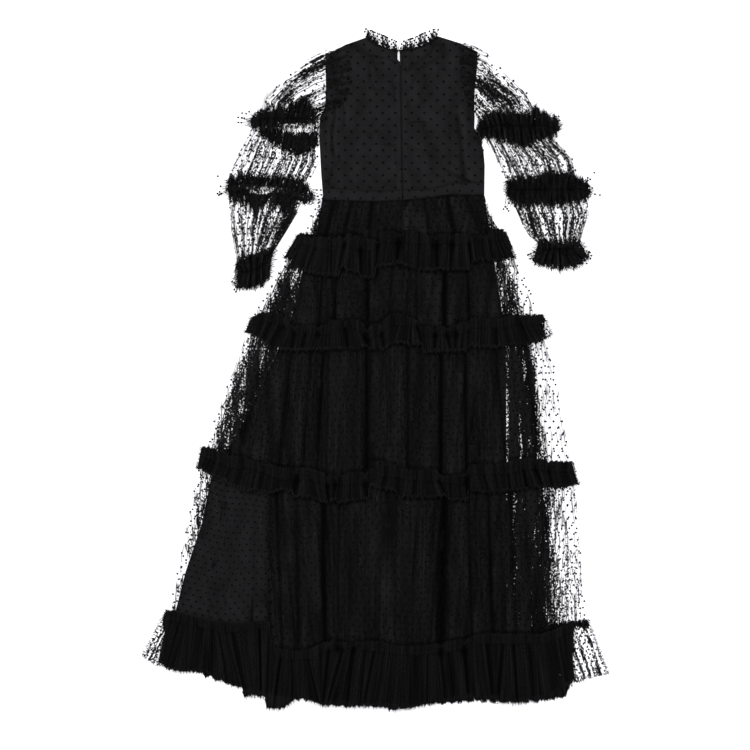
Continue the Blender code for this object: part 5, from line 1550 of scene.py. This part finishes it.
def points_mesh(name, spots, **vectors):
    """Loose points with a vector each under every name."""
    mesh = bpy.data.meshes.new(name)
    mesh.from_pydata([tuple(point * MM) for point in spots], [], [])
    for key, values in vectors.items():
        layer = mesh.attributes.new(key, "FLOAT_VECTOR", "POINT")
        numbers = np.array([value[:] for value in values], dtype=np.float32)
        layer.data.foreach_set("vector", numbers.ravel())
    return mesh


def named(graph, name):
    """A vector that the points of a mesh carry."""
    return graph.node("GeometryNodeInputNamedAttribute", {"data_type": "FLOAT_VECTOR"}, {"Name": name})


def on_points(graph, points, instance, **inputs):
    """An instance on every point, turned to the facing that the point carries."""
    turn = graph.node("FunctionNodeAlignRotationToVector", {"axis": "Z"},
                      {"Vector": named(graph, "facing")})
    return graph.node("GeometryNodeInstanceOnPoints", {},
                      {"Points": points, "Instance": instance, "Rotation": turn, **inputs})


def add_dots():
    """The flocked dots of all the net."""
    tree, graph, given = start_tree("flock_dots", ("Radius",))
    disc = graph.node("GeometryNodeMeshCircle", {"fill_type": "NGON"},
                      {"Vertices": 9, "Radius": given["Radius"]})
    end_tree(graph, on_points(graph, given["Geometry"], disc), FLOCK)
    spots, facings = zip(*DOTS)
    mesh = points_mesh("dot_places", spots, facing=facings)
    grow("flocked_dots", mesh, tree, {"Radius": DOT_RADIUS * MM})


def add_strands():
    """The loose thread ends of every raw edge."""
    tree, graph, given = start_tree("thread_ends", ("Half Width",))
    blade = graph.node("GeometryNodeMeshCone", {"fill_type": "NONE"},
                       {"Vertices": 3, "Radius Top": 0.0, "Radius Bottom": given["Half Width"],
                        "Depth": MM})
    end_tree(graph, on_points(graph, given["Geometry"], blade, Scale=named(graph, "size")), THREAD)
    spots, aims, lengths, widths = zip(*STRANDS)
    mesh = points_mesh("thread_places", spots, facing=aims, size=list(zip(widths, widths, lengths)))
    grow("frayed_threads", mesh, tree, {"Half Width": THREAD_HALF * MM})


def add_chain():
    """The concealed coil of the zip, closed."""
    tree, graph, given = start_tree("zip_coil", ("Width", "Pitch"))
    loop = graph.node("GeometryNodeMeshUVSphere", {}, {"Segments": 6, "Rings": 4, "Radius": 0.5 * MM})
    path = graph.node("GeometryNodeMeshToCurve", {}, {"Mesh": given["Geometry"]})
    even = graph.node("GeometryNodeResampleCurve", {"mode": "LENGTH"},
                      {"Curve": path, "Length": given["Pitch"]})
    size = graph.node("ShaderNodeCombineXYZ", {}, {0: given["Width"], 1: 0.9, 2: 1.2})
    coil = graph.node("GeometryNodeInstanceOnPoints", {},
                      {"Points": even, "Instance": loop, "Scale": size})
    end_tree(graph, coil, THREAD)
    mesh = bpy.data.meshes.new("zip_line")
    ends = [(zip_x(y) * MM, y * MM, (LINING_TOP + 0.55) * MM) for y in (ZIP_TOP - 1.0, ZIP_END + 2.0)]
    mesh.from_pydata(ends, [(0, 1)], [])
    return grow("zip_coil", mesh, tree, {"Width": COIL_WIDTH, "Pitch": COIL_PITCH * MM})


def add_zip():
    """Tape, chain, slider, pull and hook."""
    y = np.linspace(ZIP_TOP + 3.0, ZIP_END - 1.5, 98)[:, None]
    x = zip_x(y) + np.linspace(-1, 1, 15) * (TAPE_HALF + 1.5)
    z = np.full_like(x, LINING_TOP - HALF_WALL - 0.25)
    near = np.abs(x - zip_x(y))
    # the tape carries painted shade along the chain
    sheet = Sheet(x, y + 0 * x, z, shade=0.55 + 0.45 * ease(near, 1.0, 3.0), seed=95)
    piece = sheet.build("zip_tape_strip", TAPE)
    declare(piece, 1.0, ["cut_bodice_lining_front"], ["zip_tape"], [add_chain()])
    for name in ("zip_slider", "zip_pull", "neck_hook"):
        for entry in NODES[name].material_slots:
            entry.material = METAL


# Lights: name, place in metres, power and size
LAMPS = (
    ("key", (-2.6, 0.9, 2.6), 105, 2.2),
    ("fill", (2.8, 0.4, 2.6), 60, 2.6),
    ("rim", (0.2, 3.0, 2.4), 40, 2.4),
)
SKY_STRENGTH = 0.45


def add_stage():
    """Floor, soft lights and the camera straight above."""
    builder = bmesh.new()
    bmesh.ops.create_grid(builder, x_segments=8, y_segments=8, size=8.0)
    mesh = bpy.data.meshes.new("floor")
    builder.to_mesh(mesh)
    builder.free()
    mesh.materials.append(FLOOR)
    add_object("floor", mesh)

    world = bpy.data.worlds.new("studio")
    world.use_nodes = True
    sky = world.node_tree.nodes["Background"]
    sky.inputs["Color"].default_value = (1, 1, 1, 1)
    sky.inputs["Strength"].default_value = SKY_STRENGTH
    bpy.context.scene.world = world
    for name, spot, power, size in LAMPS:
        lamp = bpy.data.lights.new(name, "AREA")
        lamp.energy = power
        lamp.size = size
        item = add_object(name, lamp)
        item.location = spot
        item.rotation_euler = (-Vector(spot)).to_track_quat("-Z", "Y").to_euler()

    lens = bpy.data.cameras.new("camera")
    lens.lens = 85.0
    lens.sensor_width = 36.0
    camera = add_object("camera", lens)
    x, y = place(PHOTO / 2, PHOTO / 2)
    camera.location = (x * MM, y * MM, PHOTO * PIXEL * MM * lens.lens / lens.sensor_width)
    bpy.context.scene.camera = camera
    bpy.context.scene.view_settings.view_transform = "Standard"


add_bodice()
add_skirt()
add_sleeves()
add_zip()
add_dots()
add_strands()
add_stage()
